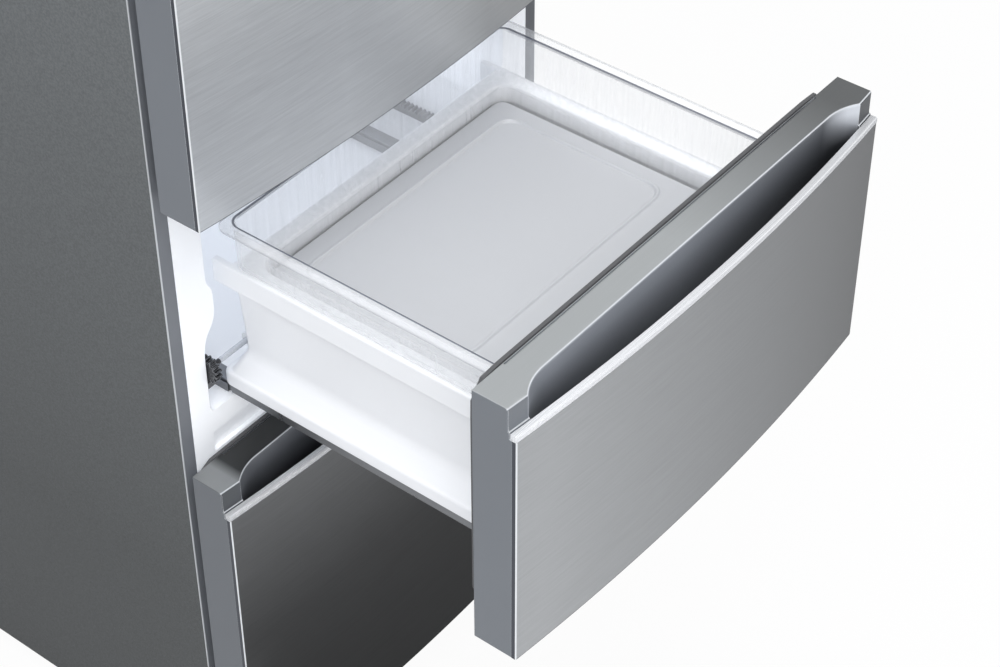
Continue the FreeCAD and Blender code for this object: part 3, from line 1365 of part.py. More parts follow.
def make_compressor():
    """Welded steel shell on a foot plate, four rubber mounts and the drip tray on top."""
    floor, at, deep = value["pan_top"], value["compressor_at"], value["compressor_y"]
    radius, dome = value["compressor_radius"], value["compressor_dome"]
    plate_low = floor + value["mount_height"]
    plate, half = value["foot_plate"], value["foot_plate_half"]
    low, high = plate_low, value["dish_base"]
    shell = revolved([(0, low), (radius - dome, low), (radius, low + dome), (radius, high - dome * 2),
                      (radius - dome, high - dome), (radius / 2, high - dome / 4), (radius / 2, high),
                      (0, high)], Vector(at, deep, 0))
    foot = block((at - half, at + half), (deep - half, deep + half), (plate_low, plate_low + plate))
    spread, bolt = value["mount_spread"], value["mount_bolt"]
    corners = [(at + x * spread, deep + y * spread) for x in (-1, 1) for y in (-1, 1)]
    for x, y in corners:
        foot = foot.cut(bar("z", bolt + value["seat_clearance"], 0, high, x, y))
    terminal = block((at - dome, at + dome), (deep - radius - dome, deep), (low + dome * 3, low + dome * 5))
    body = shell.fuse([foot, terminal]).removeSplitter()
    node("compressor", drawn("compressor_shell", body))
    mounts = []
    for x, y in corners:
        pad = bar("z", value["mount_radius"], floor, plate_low, x, y)
        stud = bar("z", bolt, floor, plate_low + plate * 2, x, y)
        cap = bar("z", value["mount_radius"], plate_low + plate, plate_low + plate * 2, x, y)
        mounts.append(pad.fuse([stud, cap]))
    node("compressor_mounts", drawn("mount_set", Part.makeCompound(mounts)))
    dish, wall = value["dish_half"], value["dish_wall"]
    base = value["dish_base"]
    outside = block((at - dish, at + dish), (deep - dish, deep + dish), (base, base + value["dish_height"]))
    inside = block((at - dish + wall, at + dish - wall), (deep - dish + wall, deep + dish - wall),
                   (base + wall, base + value["dish_height"] + 1))
    node("drip_tray", drawn("drip_dish", outside.cut(inside)))
    return body


def make_machine_room(cold_coil, cold_motor):
    """Compressor, condenser with its fan, lines, control box and the louvred cover with its inlet."""
    compressor = make_compressor()
    floor = value["pan_top"]
    front = value["condenser_front"]
    deep = (front, front + value["condenser_deep"])
    body = coil("y", deep, (value["condenser_left"], value["condenser_right"]),
                (floor + value["coil_gap"], floor + value["coil_gap"] + value["condenser_height"]), 4)
    half = value["coil_gap"] / 2
    feet = [block((value["condenser_left"], value["condenser_right"]), (at - half, at + half),
                  (floor, floor + value["coil_gap"] + 1))
            for at in (deep[0] + value["tube_radius"] * 8, deep[1] - value["tube_radius"] * 8)]
    condenser = body.fuse(feet)
    node("condenser", drawn("condenser_coil", condenser))
    motor = motor_and_fan("x", Vector(value["blower_seat"], value["compressor_y"], value["blower_z"]),
                          value["blower_at"], value["blower_radius"], "condenser_fan")
    node("fan_motors", group("motor_set", motor, cold_motor))
    make_lines(compressor, condenser, cold_coil)
    make_room_cover()


def pipe(points, radius):
    """A round pipe along straight runs with rounded corners."""
    corner = value["line_bend"]
    edges = []
    here = points[0]
    for before, point, after in zip(points, points[1:], points[2:]):
        arrive = (point - before).normalize()
        leave = (after - point).normalize()
        start, end = point - arrive * corner, point + leave * corner
        middle = point + (leave - arrive) * corner * (1 - math.sqrt(0.5))
        edges.append(Part.LineSegment(here, start).toShape())
        edges.append(Part.Arc(start, middle, end).toShape())
        here = end
    edges.append(Part.LineSegment(here, points[-1]).toShape())
    circle = Part.Wire([Part.makeCircle(radius, points[0], points[1] - points[0])])
    return Part.Wire(edges).makePipeShell([circle], True, True)


def line_routes():
    """Discharge line over the fan, liquid line with the drier, and the suction line."""
    inset = value["header_inset"]
    rear_y = value["condenser_front"] + value["condenser_deep"] - inset
    front_y = value["condenser_front"] + inset
    low = value["pan_top"] + value["coil_gap"]
    row = value["condenser_height"] / value["tube_rows"]
    top = low + value["condenser_height"] - row / 2
    header = value["condenser_left"] + (value["condenser_right"] - value["condenser_left"]) / 8
    coil_low = value["middle_floor"] + value["coil_base"]
    coil_row = value["coil_height"] / value["tube_rows"]
    coil_bottom, coil_top = coil_low + coil_row / 2, coil_low + value["coil_height"] - coil_row / 2
    coil_x = value["coil_half"] - inset
    coil_front = value["cover_front"] + value["cover_sheet"] + value["coil_gap"]
    coil_back = value["middle_back"] - value["coil_gap"]
    coil_y = coil_back - (coil_back - coil_front) / 6
    inside = value["compressor_at"] - value["compressor_radius"] / 2
    out, rise = value["discharge_height"], value["discharge_rise"]
    clear = value["compressor_at"] + value["compressor_radius"] * 1.5
    discharge = [Vector(value["compressor_at"], front_y, out), Vector(clear, front_y, out),
                 Vector(clear, front_y, rise), Vector(header, front_y, rise),
                 Vector(header, front_y, top)]
    liquid = [Vector(coil_x, rear_y, top), Vector(coil_x, rear_y, coil_top),
              Vector(coil_x, coil_y, coil_top)]
    suction = [Vector(-coil_x, coil_y, coil_bottom), Vector(-coil_x, rear_y, coil_bottom),
               Vector(-coil_x, rear_y, value["suction_height"]),
               Vector(inside, rear_y, value["suction_height"])]
    return discharge, liquid, suction


def line_channels(label):
    """Round channels through the foam and the liner for the two lines that rise to the evaporator."""
    wide = value["line_radius"] + value["seat_clearance"]
    return [drawn("%s_channel_%d" % (label, number), pipe(route, wide))
            for number, route in enumerate(line_routes()[1:])]


def make_lines(*neighbours):
    """The three refrigerant lines, each meeting the compressor or a coil at its ends."""
    discharge, liquid, suction = line_routes()
    radius = value["line_radius"]
    reach = value["drier_length"]
    low = liquid[0].z + value["tube_radius"] * 2
    drier = bar("z", value["drier_radius"], low, low + reach, liquid[0].x, liquid[0].y)
    lines = []
    for solid in (pipe(discharge, radius), pipe(liquid, radius).fuse(drier).removeSplitter(),
                  pipe(suction, radius)):
        for other in neighbours:
            solid = solid.cut(other)
        lines.append(max(solid.Solids, key=lambda piece: piece.Volume))
    node("refrigerant_lines", drawn("line_set", Part.makeCompound(lines)))


def make_room_cover():
    """Louvred steel cover of the machine room, the power inlet in it, and the control box."""
    at, high = "inlet_at", "inlet_height"
    across = ("%s - inlet_wide / 2" % at, "%s + inlet_wide / 2" % at)
    up = ("%s - inlet_tall / 2" % high, "%s + inlet_tall / 2" % high)
    plate = slab("cover_sheet_steel", both("case_inner"), ("case_back - cover_thick", "case_back"),
                 ("pan_top", "room_top"))
    holes = [slab("inlet_hole", across, ("case_back - cover_thick - 1", "case_back + 1"), up)]
    pitch = "(room_top - pan_top) / (louvre_count + 1)"
    for number in range(1, int(value["louvre_count"]) + 1):
        middle = "pan_top + %s * %d" % (pitch, number)
        for name, span in (("left", ("0 - louvre_outer", "0 - louvre_inner")),
                           ("right", ("louvre_inner", "louvre_outer"))):
            holes.append(slab("louvre_%s_%d" % (name, number), span,
                              ("case_back - cover_thick - 1", "case_back + 1"),
                              (middle + " - louvre_wide / 2", middle + " + louvre_wide / 2")))
    node("machine_room_cover", cut("room_cover_cut", plate, *holes))
    depth = ("case_back - inlet_deep", "case_back")
    socket = slab("inlet_hollow", ("%s + inlet_wall" % across[0], "%s - inlet_wall" % across[1]),
                  ("case_back - inlet_deep + inlet_wall", "case_back + 1"),
                  ("%s + inlet_wall" % up[0], "%s - inlet_wall" % up[1]))
    pins = [slab("inlet_pin_%d" % number,
                 ("%s + inlet_wide / 4 * %d - inlet_blade / 2" % (at, number),
                  "%s + inlet_wide / 4 * %d + inlet_blade / 2" % (at, number)),
                 ("case_back - inlet_deep", "case_back - inlet_wall"),
                 ("%s - inlet_blade * 2" % high, "%s + inlet_blade * 2" % high))
            for number in (-1, 0, 1)]
    shell = cut("inlet_shell", slab("inlet_block", across, depth, up), socket)
    node("power_inlet", fuse("inlet_with_pins", shell, *pins))
    left = value["case_inner"] - value["seat_clearance"]
    box = block((-left, value["control_wide"] - left),
                (value["condenser_front"], value["condenser_front"] + value["control_deep"]),
                (value["pan_top"], value["pan_top"] + value["control_tall"]))
    upper = [edge for edge in box.Edges if edge.BoundBox.ZMin > value["pan_top"] + 1]
    node("control_box", drawn("control_case", box.makeFillet(value["inlet_wall"], upper)))


# ------------------------------------------------------------------------------------------ hinges

def hinge(label, plate, leg, washer, pin):
    """A steel plate with a leg, a bearing washer and the pin, as one welded piece."""
    at_x, at_y = value["pin_x"], value["pin_y"]
    pieces = [bar("z", value["bearing_radius"], washer[0], washer[1], at_x, at_y),
              bar("z", value["pin_radius"], pin[0], pin[1], at_x, at_y)]
    body = plate.fuse(pieces + leg).removeSplitter()
    node(label, drawn(label + "_steel", body))


def make_hinges():
    """Top hinge on the case with its hood, and the hinge in the seam under the upper door."""
    thick, gap = value["plate_thick"], value["bearing_gap"]
    top, door_top = value["case_top"], value["door_top"]
    right = value["case_width"] / 2
    left = right - value["top_plate_wide"]
    front = value["pin_y"] - value["bearing_radius"]
    back = value["front_gap"] + value["top_plate_long"]
    plate = block((left, right), (front, back), (top, top + thick))
    corners = [edge for edge in plate.Edges if edge.BoundBox.ZLength > thick / 2]
    hinge("top_hinge", plate.makeFillet(thick, corners), [], (door_top + gap, top),
          (door_top - value["pin_reach"], top + thick))
    margin, wall = value["hood_margin"], value["hood_wall"]
    hood_top = top + value["hood_height"]
    shell = block((left - margin - wall, right), (front - margin - wall, back + margin + wall),
                  (top, hood_top))
    shell = shell.makeFillet(margin, [edge for edge in shell.Edges if edge.BoundBox.ZMax > top + 1])
    inside = block((left - margin, right - wall), (front - margin, back + margin),
                   (top - 1, hood_top - wall))
    slot = block((right - wall - 1, right + 1), (front - 1, back + 1), (top - 1, top + thick))
    node("hinge_cover", drawn("hinge_hood", shell.cut([inside, slot]).removeSplitter()))
    low = value["hinge_plate"]
    door_base = value["door_base"]
    edge = value["front_width"] / 2 - value["gasket_inset"] + 1
    plate = block((value["pin_x"] - value["bearing_radius"], right), (front, value["front_gap"]),
                  (low, low + thick))
    rise = value["leg_height"] / 2
    leg = block((edge, right), (value["front_gap"] - value["leg_thick"], value["front_gap"]),
                (low + thick / 2 - rise, low + thick / 2 + rise))
    hinge("middle_hinge", plate, [leg], (low + thick, door_base - gap),
          (low, door_base + value["pin_reach"]))


make_case()
make_fronts()
make_middle_box()
make_lower_box()
make_runners()
make_basket()
make_tray()
make_fridge_inside()
make_machine_room(*make_cold_parts())
make_hinges()


# ---------------------------------------------------------------------------------------- export

doc.recompute()
for item in doc.Objects:
    if "Invalid" in item.State or "Error" in item.State:
        raise RuntimeError("%s did not build: %s" % (item.Label, item.State))
for label, item in NODES.items():
    if item.Shape.isNull() or not item.Shape.isValid() or not item.Shape.Solids:
        raise RuntimeError("%s has no valid solid" % label)
os.makedirs("parts", exist_ok=True)
for label, item in NODES.items():
    item.Shape.exportStep("parts/%s.step" % label)
    print("%-26s %2d solid(s) %9.0f mm3" % (label, len(item.Shape.Solids), item.Shape.Volume))
print(len(NODES), "nodes")
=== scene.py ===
import json
import math

import bmesh
import bpy
import numpy as np
from mathutils import Matrix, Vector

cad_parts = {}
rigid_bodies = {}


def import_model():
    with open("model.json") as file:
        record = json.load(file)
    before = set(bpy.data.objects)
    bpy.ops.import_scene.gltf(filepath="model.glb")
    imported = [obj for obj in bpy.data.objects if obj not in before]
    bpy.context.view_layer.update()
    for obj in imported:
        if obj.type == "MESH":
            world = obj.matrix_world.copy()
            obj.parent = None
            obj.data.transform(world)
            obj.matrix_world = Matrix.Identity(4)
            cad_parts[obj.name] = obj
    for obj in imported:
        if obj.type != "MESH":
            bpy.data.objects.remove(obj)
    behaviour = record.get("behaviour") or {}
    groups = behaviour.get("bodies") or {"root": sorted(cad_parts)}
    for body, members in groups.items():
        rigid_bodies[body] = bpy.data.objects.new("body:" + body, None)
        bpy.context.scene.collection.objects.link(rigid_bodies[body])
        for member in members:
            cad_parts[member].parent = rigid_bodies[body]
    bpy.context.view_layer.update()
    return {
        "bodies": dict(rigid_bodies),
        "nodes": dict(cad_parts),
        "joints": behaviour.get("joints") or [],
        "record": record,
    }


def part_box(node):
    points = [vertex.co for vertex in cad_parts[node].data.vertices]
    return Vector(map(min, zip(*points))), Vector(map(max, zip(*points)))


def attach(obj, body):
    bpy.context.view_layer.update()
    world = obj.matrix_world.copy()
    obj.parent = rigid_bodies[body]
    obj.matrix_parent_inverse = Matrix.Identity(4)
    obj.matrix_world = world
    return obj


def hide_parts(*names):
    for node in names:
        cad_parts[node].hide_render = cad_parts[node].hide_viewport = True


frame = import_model()
mm = 0.001
nodes = frame["nodes"]
bodyOf = {node: body for body, group in frame["record"]["behaviour"]["bodies"].items() for node in group}
slotOf = {part["node"]: part["material_slot"] for part in frame["record"]["subparts"]}
caseHalf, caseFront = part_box("outer_case")[1].x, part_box("outer_case")[0].y
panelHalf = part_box("middle_front_panel")[1].x
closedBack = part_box("lower_front_surround")[1].y / mm      # plane of the closed doors' backs
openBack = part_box("middle_front_surround")[1].y / mm       # the same plane on the open drawer
print("frame loaded:", len(nodes), "nodes")


class Field:
    # one output of a node; arithmetic on it adds Math nodes to the same finish
    def __init__(self, finish, socket):
        self.finish = finish
        self.socket = socket

    def math(self, operation, *others, flip=False):
        terms = [*others, self] if flip else [self, *others]
        return self.finish.add("ShaderNodeMath", {"operation": operation}, dict(enumerate(terms)))

    def __add__(self, other):
        return self.math("ADD", other)

    def __sub__(self, other):
        return self.math("SUBTRACT", other)

    def __mul__(self, other):
        return self.math("MULTIPLY", other)

    def __pow__(self, other):
        return self.math("POWER", other)

    def __rsub__(self, other):
        return self.math("SUBTRACT", other, flip=True)

    __radd__ = __add__
    __rmul__ = __mul__

    def size(self):
        return self.math("ABSOLUTE")

    def atLeast(self, other):
        return self.math("MAXIMUM", other)

    def spread(self, low, high, newLow=0.0, newHigh=1.0):
        # the part from low to high, stretched to the new range and held at its ends
        return self.finish.add("ShaderNodeMapRange", {"clamp": True}, {
            "Value": self, "From Min": low, "From Max": high, "To Min": newLow, "To Max": newHigh})

    def ranged(self, low, high):
        # a noise, most of which lies from 0.3 to 0.7, stretched to a range
        return self.spread(0.3, 0.7, low, high)


class Finish:
    # one procedural material: its nodes are added through add, and done() sets the shader
    def __init__(self, name, owner=None):
        # owner: a material or world that has nodes already
        self.material = owner or bpy.data.materials.new(name)
        self.material.use_nodes = True
        self.tree = self.material.node_tree
        self.shader = self.tree.nodes.get("Principled BSDF")

    def add(self, kind, settings=None, values=None, out=0):
        # a node of that kind, its settings first, then its sockets' values or links
        item = self.tree.nodes.new(kind)
        for key, setting in (settings or {}).items():
            setattr(item, key, setting)
        for key, given in (values or {}).items():
            if isinstance(given, Field):
                self.tree.links.new(given.socket, item.inputs[key])
            else:
                item.inputs[key].default_value = given
        return Field(self, item.outputs[out]) if item.outputs else None

    def place(self, stretch=(1, 1, 1)):
        # object coordinates in metres, stretched along each axis
        here = self.add("ShaderNodeTexCoord", out="Object")
        return self.add("ShaderNodeMapping", {}, {"Vector": here, "Scale": stretch})

    def noise(self, scale, detail=2.0, roughness=0.5, stretch=(1, 1, 1)):
        return self.add("ShaderNodeTexNoise", {}, {
            "Vector": self.place(stretch), "Scale": scale, "Detail": detail, "Roughness": roughness})

    def cells(self, scale, out="Distance"):
        return self.add("ShaderNodeTexVoronoi", {}, {"Vector": self.place(), "Scale": scale}, out)

    def parts(self, vector):
        # the three numbers of a vector
        split = self.add("ShaderNodeSeparateXYZ", {}, {"Vector": vector})
        return [Field(self, split.socket.node.outputs[axis]) for axis in range(3)]

    def here(self):
        # place on the object, in metres
        return self.parts(self.add("ShaderNodeTexCoord", out="Object"))

    def normal(self):
        # direction that the surface looks in
        return self.parts(self.add("ShaderNodeNewGeometry", out="Normal"))

    def blend(self, share, first, second):
        # a colour between two others, or several shades of one
        shades = {6: first if isinstance(first, Field) else (*first, 1),
                  7: second if isinstance(second, Field) else (*second, 1)}
        return self.add("ShaderNodeMix", {"data_type": "RGBA"}, {0: share, **shades}, 2)

    def dimmed(self, share, colour):
        return self.blend(share, (0, 0, 0), colour)

    def bump(self, height, depth):
        # height from 0 to 1 over a depth in millimetres
        return self.add("ShaderNodeBump", {}, {"Height": height, "Distance": depth * mm, "Strength": 1.0})

    def convexEdges(self, reach):
        # 1 along convex edges and 0 on the flats, from the bevelled normal against the true one; it places
        # painted edge highlights and painted dark edge lines
        soft = self.add("ShaderNodeBevel", {"samples": 4}, {"Radius": reach * mm})
        true = self.add("ShaderNodeNewGeometry", out="Normal")
        agree = self.add("ShaderNodeVectorMath", {"operation": "DOT_PRODUCT"}, {0: soft, 1: true}, "Value")
        return (1 - agree).spread(0.01, 0.2)

    def ring(self, half, near, far, radius):
        # distance outside a rounded rectangle in plan: length of the part beyond its straight sides,
        # less its corner radius; lengths in millimetres, the field in metres
        x, y, _ = self.here()
        middle, deep = (near + far) / 2 * mm, (far - near) / 2 * mm
        across = (x.size() - (half - radius) * mm).atLeast(0.0)
        along = ((y - middle).size() - (deep - radius * mm)).atLeast(0.0)
        return (across * across + along * along).math("SQRT") - radius * mm

    def done(self, **values):
        names = {"base": "Base Color", "metallic": "Metallic", "roughness": "Roughness", "normal": "Normal",
                 "alpha": "Alpha", "coat": "Coat Weight", "ior": "IOR", "specular": "Specular IOR Level",
                 "anisotropic": "Anisotropic", "turn": "Anisotropic Rotation",
                 "glow": "Emission Color", "glowStrength": "Emission Strength"}
        for key, given in values.items():
            socket = self.shader.inputs[names[key]]
            if isinstance(given, Field):
                self.tree.links.new(given.socket, socket)
            else:
                socket.default_value = (*given, 1) if isinstance(given, tuple) else given
        return self.material


def shaded(finish, colour, field, share):
    # the colour made up to share darker and lighter by a field from 0 to 1
    dark = tuple(channel * (1 - share) for channel in colour)
    light = tuple(min(1, channel * (1 + share)) for channel in colour)
    return finish.blend(field, dark, light)


# where the three fronts lie, and the painted shade that falls across them

frontShade = {
    "margin": 4 * mm,      # from a front's edge to where the next one's tone starts
    "rightShare": 0.32,    # share of light that the open front's right end keeps
    "lowShare": 0.50,      # the same at the closed drawer's top
    "footShare": 0.30,     # and at its foot
    "steelStart": -0.26,   # x at which the open front starts to darken
    "greyStart": -0.02,    # the same on its ledge
    "greyEnd": 0.26,
}
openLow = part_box("middle_front_panel")[0].z - frontShade["margin"]
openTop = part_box("middle_front_surround")[1].z
openHigh = openTop + frontShade["margin"]
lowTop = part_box("lower_front_surround")[1].z


def above(z, height):
    # 0 below a height and 1 from a millimetre over it
    return z.spread(height, height + mm)


def onOpenDrawer(z):
    return above(z, openLow - mm) * (1 - above(z, openHigh))


def paintedFrontShade(x, z, start, end=0.30):
    # painted shade: 1 on the door; falls with x from start to end on the open drawer, and with z on the
    # closed one
    onLow = 1 - above(z, openLow - mm)
    fall = x.spread(start, end, 0.0, 1 - frontShade["rightShare"])
    deep = z.spread(0.30, 0.54, frontShade["footShare"], frontShade["lowShare"])
    return 1 - onOpenDrawer(z) * fall - onLow * (1 - deep)


def casePaint():
    # leather-like grain, with painted shade that darkens it towards the floor; the front flange smooth,
    # with painted shade on the right-hand one and a painted highlight along its outer edge
    paint = Finish("casePaint")
    peel = paint.noise(900, 3, 0.6)
    cloud = paint.noise(3, 4, 0.6)
    speck = paint.noise(420, 2, 0.5)
    shade = speck.spread(0.35, 0.65) * 0.7 + cloud * 0.3
    x, y, z = paint.here()
    backward = paint.normal()[1]
    onFlange = (0 - backward).spread(0.55, 0.75) * y.spread(caseFront + 3 * mm, caseFront + 1 * mm)
    # painted highlight along the case's outer front edge
    edgeHighlight = x.size().spread(caseHalf - 1.3 * mm, caseHalf - 0.9 * mm)
    edgeHighlight = edgeHighlight * y.spread(caseFront + 1.6 * mm, caseFront + 1.1 * mm)
    grain = shaded(paint, (0.124, 0.134, 0.138), shade, 0.22)
    # painted shade: the side darker towards the floor
    grain = paint.dimmed(z.spread(0.35, 1.25, 0.40, 1.0), grain)
    flange = paint.blend(cloud, (0.150, 0.160, 0.178), (0.172, 0.182, 0.200))
    # painted shade: the right-hand flange darker
    flange = paint.blend(x.spread(0.0, 0.2), flange, (0.088, 0.095, 0.108))
    base = paint.blend(edgeHighlight, paint.blend(onFlange, grain, flange), (0.60, 0.62, 0.64))
    rough = peel.ranged(0.42, 0.6) * (1 - onFlange) + onFlange * 0.32
    return paint.done(base=base, metallic=edgeHighlight * 0.7, roughness=rough,
                      normal=paint.bump(peel * (1 - onFlange), 0.16), specular=0.5)


def brushedSteel():
    # grain along x; a painted highlight on the rolled left edge, painted shade on the folded side, the
    # right roll and the lower hem, and painted shade across the fronts
    steel = Finish("brushedSteel")
    fine = steel.noise(1.0, 3, 0.6, (12, 12, 2200))
    broad = steel.noise(1.0, 4, 0.65, (16, 16, 300))
    cloud = steel.noise(3.2, 3, 0.5)
    grain = fine * 0.5 + broad * 0.5
    shade = grain.ranged(0, 1) * 0.8 + cloud * 0.2
    x, _, z = steel.here()
    sideways, _, upward = steel.normal()
    leftward = 0 - sideways
    # painted highlight on the rolled left edge; painted shade on the folded side, the right roll and the
    # hem
    leftRollHighlight = leftward.spread(0.12, 0.35) * leftward.spread(0.97, 0.90)
    fold = leftward.spread(0.93, 0.98)
    rightRollShade = sideways.spread(0.2, 0.5)
    hem = (0 - upward).spread(0.1, 0.4)
    for node in ("fridge_door_panel", "middle_front_panel", "lower_front_panel"):
        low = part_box(node)[0].z
        hem = hem + z.spread(low + 1.3 * mm, low + 0.9 * mm) * above(z, low - mm)
    sheet = shaded(steel, (0.67, 0.685, 0.70), shade, 0.15)
    onDoor = above(z, openHigh)
    # painted shade: the door darker towards its right, the drawers darker than the door
    doorShade, drawerShade = x.spread(-0.10, 0.12, 1.0, 0.52), 0.62
    level = paintedFrontShade(x, z, frontShade["steelStart"]) * (onDoor * doorShade + (1 - onDoor) * drawerShade)
    base = steel.blend(fold, steel.dimmed(level, sheet), (0.085, 0.09, 0.105))
    base = steel.blend((rightRollShade + hem).spread(0, 1) * 0.8, base, (0.05, 0.052, 0.06))
    base = steel.blend(leftRollHighlight, base, (0.86, 0.88, 0.90))
    return steel.done(base=base, metallic=1.0, roughness=grain.ranged(0.30, 0.40),
                      normal=steel.bump(grain, 0.012), anisotropic=0.55, turn=0.25)


# places on the surround for its painted shade, glint, shadow and edge lines
greyAt = {
    "half": 0.2745,                # half width of the hand recess
    "fade": (-0.018, -0.066),      # heights below the ledge between which its wall turns dark
    "glintX": (0.225, 0.262),      # its right end catches light
    "glintZ": (-0.045, -0.010),
    "lightX": (-0.276, -0.262),    # left of this the closed drawer's ledge isn't under the box
    "backEdge": (-0.038, -0.034),  # depth from the back plane where the edges turn from bright to dark
}


def surroundGrey():
    # painted light where it looks up, painted edge highlights in front and painted dark edge lines behind,
    # painted shade down the scoop's wall, a painted glint at its right end and a painted shadow on the
    # closed ledge under the box
    grey = Finish("surroundGrey")
    grain = grey.noise(1500, 2, 0.5)
    cloud = grey.noise(4, 3, 0.5)
    brush = grey.noise(1.0, 3, 0.6, (10, 1800, 1800))
    x, y, z = grey.here()
    sideways, backward, upward = grey.normal()
    body = shaded(grey, (0.172, 0.186, 0.206), cloud, 0.05)
    upper = shaded(grey, (0.36, 0.375, 0.38), brush, 0.06)
    # painted light: faces that look up take a lighter copy of the grey
    base = grey.blend(upward.spread(0.6, 0.9), body, upper)
    onOpen = onOpenDrawer(z)
    across = x.size().spread(greyAt["half"] + 0.5 * mm, greyAt["half"] - 0.5 * mm)
    inFront = (1 - above(z, openHigh)) * (0 - backward).spread(0.2, 0.7) * across
    depth = onOpen * (z - openTop) + (1 - onOpen) * (z - lowTop)
    # painted light on the scoop's wall, then painted shade that darkens it downwards
    base = grey.blend(inFront * 0.8, base, (0.34, 0.36, 0.40))
    base = grey.blend(inFront * depth.spread(*greyAt["fade"]) * 0.74, base, (0.018, 0.020, 0.028))
    # the closed drawer's ledge kept out of the painted fall, then given a painted shadow under the box
    onLowLedge = (1 - onOpen) * z.spread(0.6, 0.55) * upward.spread(0.2, 0.6)
    boxShadow = onLowLedge * x.spread(*greyAt["lightX"])
    level = paintedFrontShade(x, z, frontShade["greyStart"], frontShade["greyEnd"]).atLeast(onLowLedge * 0.62)
    level = level.atLeast(sideways.size().spread(0.6, 0.9) * 0.8)
    base = grey.dimmed(level * (1 - boxShadow * 0.89), base)
    # painted glint at the scoop's right end
    glint = inFront * x.spread(*greyAt["glintX"]) * depth.spread(*greyAt["glintZ"])
    base = grey.blend(glint * 0.9, base, (0.72, 0.75, 0.80))
    # painted highlight along the scoop's rounded rear edge
    rim = upward.spread(0.40, 0.60) * upward.spread(0.95, 0.82) * (0 - backward).spread(0.25, 0.45)
    base = grey.blend(rim * 0.8, base, (0.66, 0.68, 0.71))
    # painted edge highlights in front of the back plane and painted dark edge lines behind it
    back = onOpen * (openBack * mm) + (1 - onOpen) * (closedBack * mm)
    behind = (y - back).spread(*greyAt["backEdge"])
    line = grey.blend(behind, (0.80, 0.82, 0.84), (0.06, 0.064, 0.075))
    base = grey.blend(grey.convexEdges(1.1) * (0.85 - behind * 0.25), base, line)
    return grey.done(base=base, metallic=0.35, roughness=grain.ranged(0.33, 0.42),
                     normal=grey.bump(grain, 0.02))


def brightTrim():
    trim = Finish("brightTrim")
    line = trim.noise(1.0, 2, 0.5, (5, 1600, 1600))
    rib = trim.noise(1.0, 1, 0.5, (520, 8, 8))
    x, _, z = trim.here()
    base = shaded(trim, (0.80, 0.81, 0.83), line * 0.6 + rib * 0.4, 0.04)
    # painted shade falling across the fronts, kept lighter on the strip
    level = paintedFrontShade(x, z, frontShade["steelStart"]).spread(0, 1, 0.55, 1)
    return trim.done(base=trim.dimmed(level, base), metallic=0.35,
                     roughness=line.ranged(0.20, 0.30), normal=trim.bump(rib, 0.03))


def grained(finish, colour, share, tint, skin, gloss, depth, **more):
    # moulded or coated: two noises (scale, detail, roughness), one clouds the colour by a share, the
    # other sets the roughness within gloss and the bump
    cloud, grain = finish.noise(*tint), finish.noise(*skin)
    return finish.done(base=shaded(finish, colour, cloud, share), roughness=grain.ranged(*gloss),
                       normal=finish.bump(grain, depth), **more)


def mouldedWhite(name, colour, gloss, depth):
    return grained(Finish(name), colour, 0.02, (1.6, 3, 0.5), (700, 2, 0.5), (gloss, gloss + 0.1), depth)


def mouldedBlack(name, colour, gloss):
    return grained(Finish(name), colour, 0.18, (40, 4, 0.6), (1100, 3, 0.6), (gloss, gloss + 0.14), 0.07)


def linerWhite():
    # moulded white; light that reaches into the middle compartment is taken as a faint glow
    material = mouldedWhite("linerWhite", (0.90, 0.905, 0.915), 0.34, 0.015)
    white = Finish("linerWhite", material)
    _, y, z = white.here()
    deep = y.spread(caseFront + 10 * mm, caseFront + 60 * mm)
    middle = z.spread(0.50, 0.52) * z.spread(0.90, 0.88)
    level = deep * (0.05 + middle * z.spread(0.62, 0.72) * 0.33) + (1 - deep) * middle * 0.17
    return white.done(glow=white.dimmed(level, (0.84, 0.90, 1.0)), glowStrength=1.0)


def foamYellow():
    foam = Finish("foamYellow")
    cell = foam.cells(900)
    cloud = foam.noise(14, 4, 0.6)
    return foam.done(base=shaded(foam, (0.72, 0.60, 0.34), cloud, 0.12), roughness=0.9,
                     normal=foam.bump(cell, 0.8))


# the basket's painted dark rim lines, standing for the rims' refraction, in plan: half width, front, back,
# corner, height, line width, strength
paintedRimLines = [
    (217.2, openBack + 14, openBack + 374.7, 14, 828, 2.0, 1.0),
    (231, openBack + 12.5, openBack + 383, 16, 827, 1.1, 0.55),
    (195, openBack + 15, openBack + 352, 15, 773.5, 1.0, 0.35),
]


def clearPlastic(name, colour, body, rim, lines=()):
    # thin clear walls: nearly open face on, denser where the wall is seen edge on, with a painted dark line
    # where the distance to a rounded rectangle is small, and painted dark lines along convex edges,
    # standing for refraction
    clear = Finish(name)
    facing = clear.add("ShaderNodeLayerWeight", {}, {"Blend": 0.35}, "Facing")
    flow = clear.noise(22, 3, 0.5)
    rib = clear.noise(1.0, 3, 0.6, (170, 170, 5))
    z = clear.here()[2]
    # painted dark lines along convex edges, then along the rims
    edge = clear.convexEdges(1.0) * 0.4
    for half, near, far, radius, height, wide, strength in lines:
        off = clear.ring(half, near, far, radius).size()
        atTop = above(z, (height - 4) * mm) * (1 - above(z, (height + 1) * mm))
        edge = edge.atLeast(off.spread(wide * mm, wide * 0.45 * mm) * atTop * strength)
    wall = facing ** 2.2 * rim + flow * body * 0.3 + rib.spread(0.35, 0.7) * body * 0.6 + body * 0.8
    alpha = wall.atLeast(edge * 0.9).spread(0, 1)
    return clear.done(base=clear.blend(edge, colour, (0.10, 0.11, 0.14)), alpha=alpha,
                      roughness=flow.ranged(0.04, 0.12), normal=clear.bump(flow * 0.8 + rib * 0.2, 0.15),
                      specular=0.7, ior=1.49)


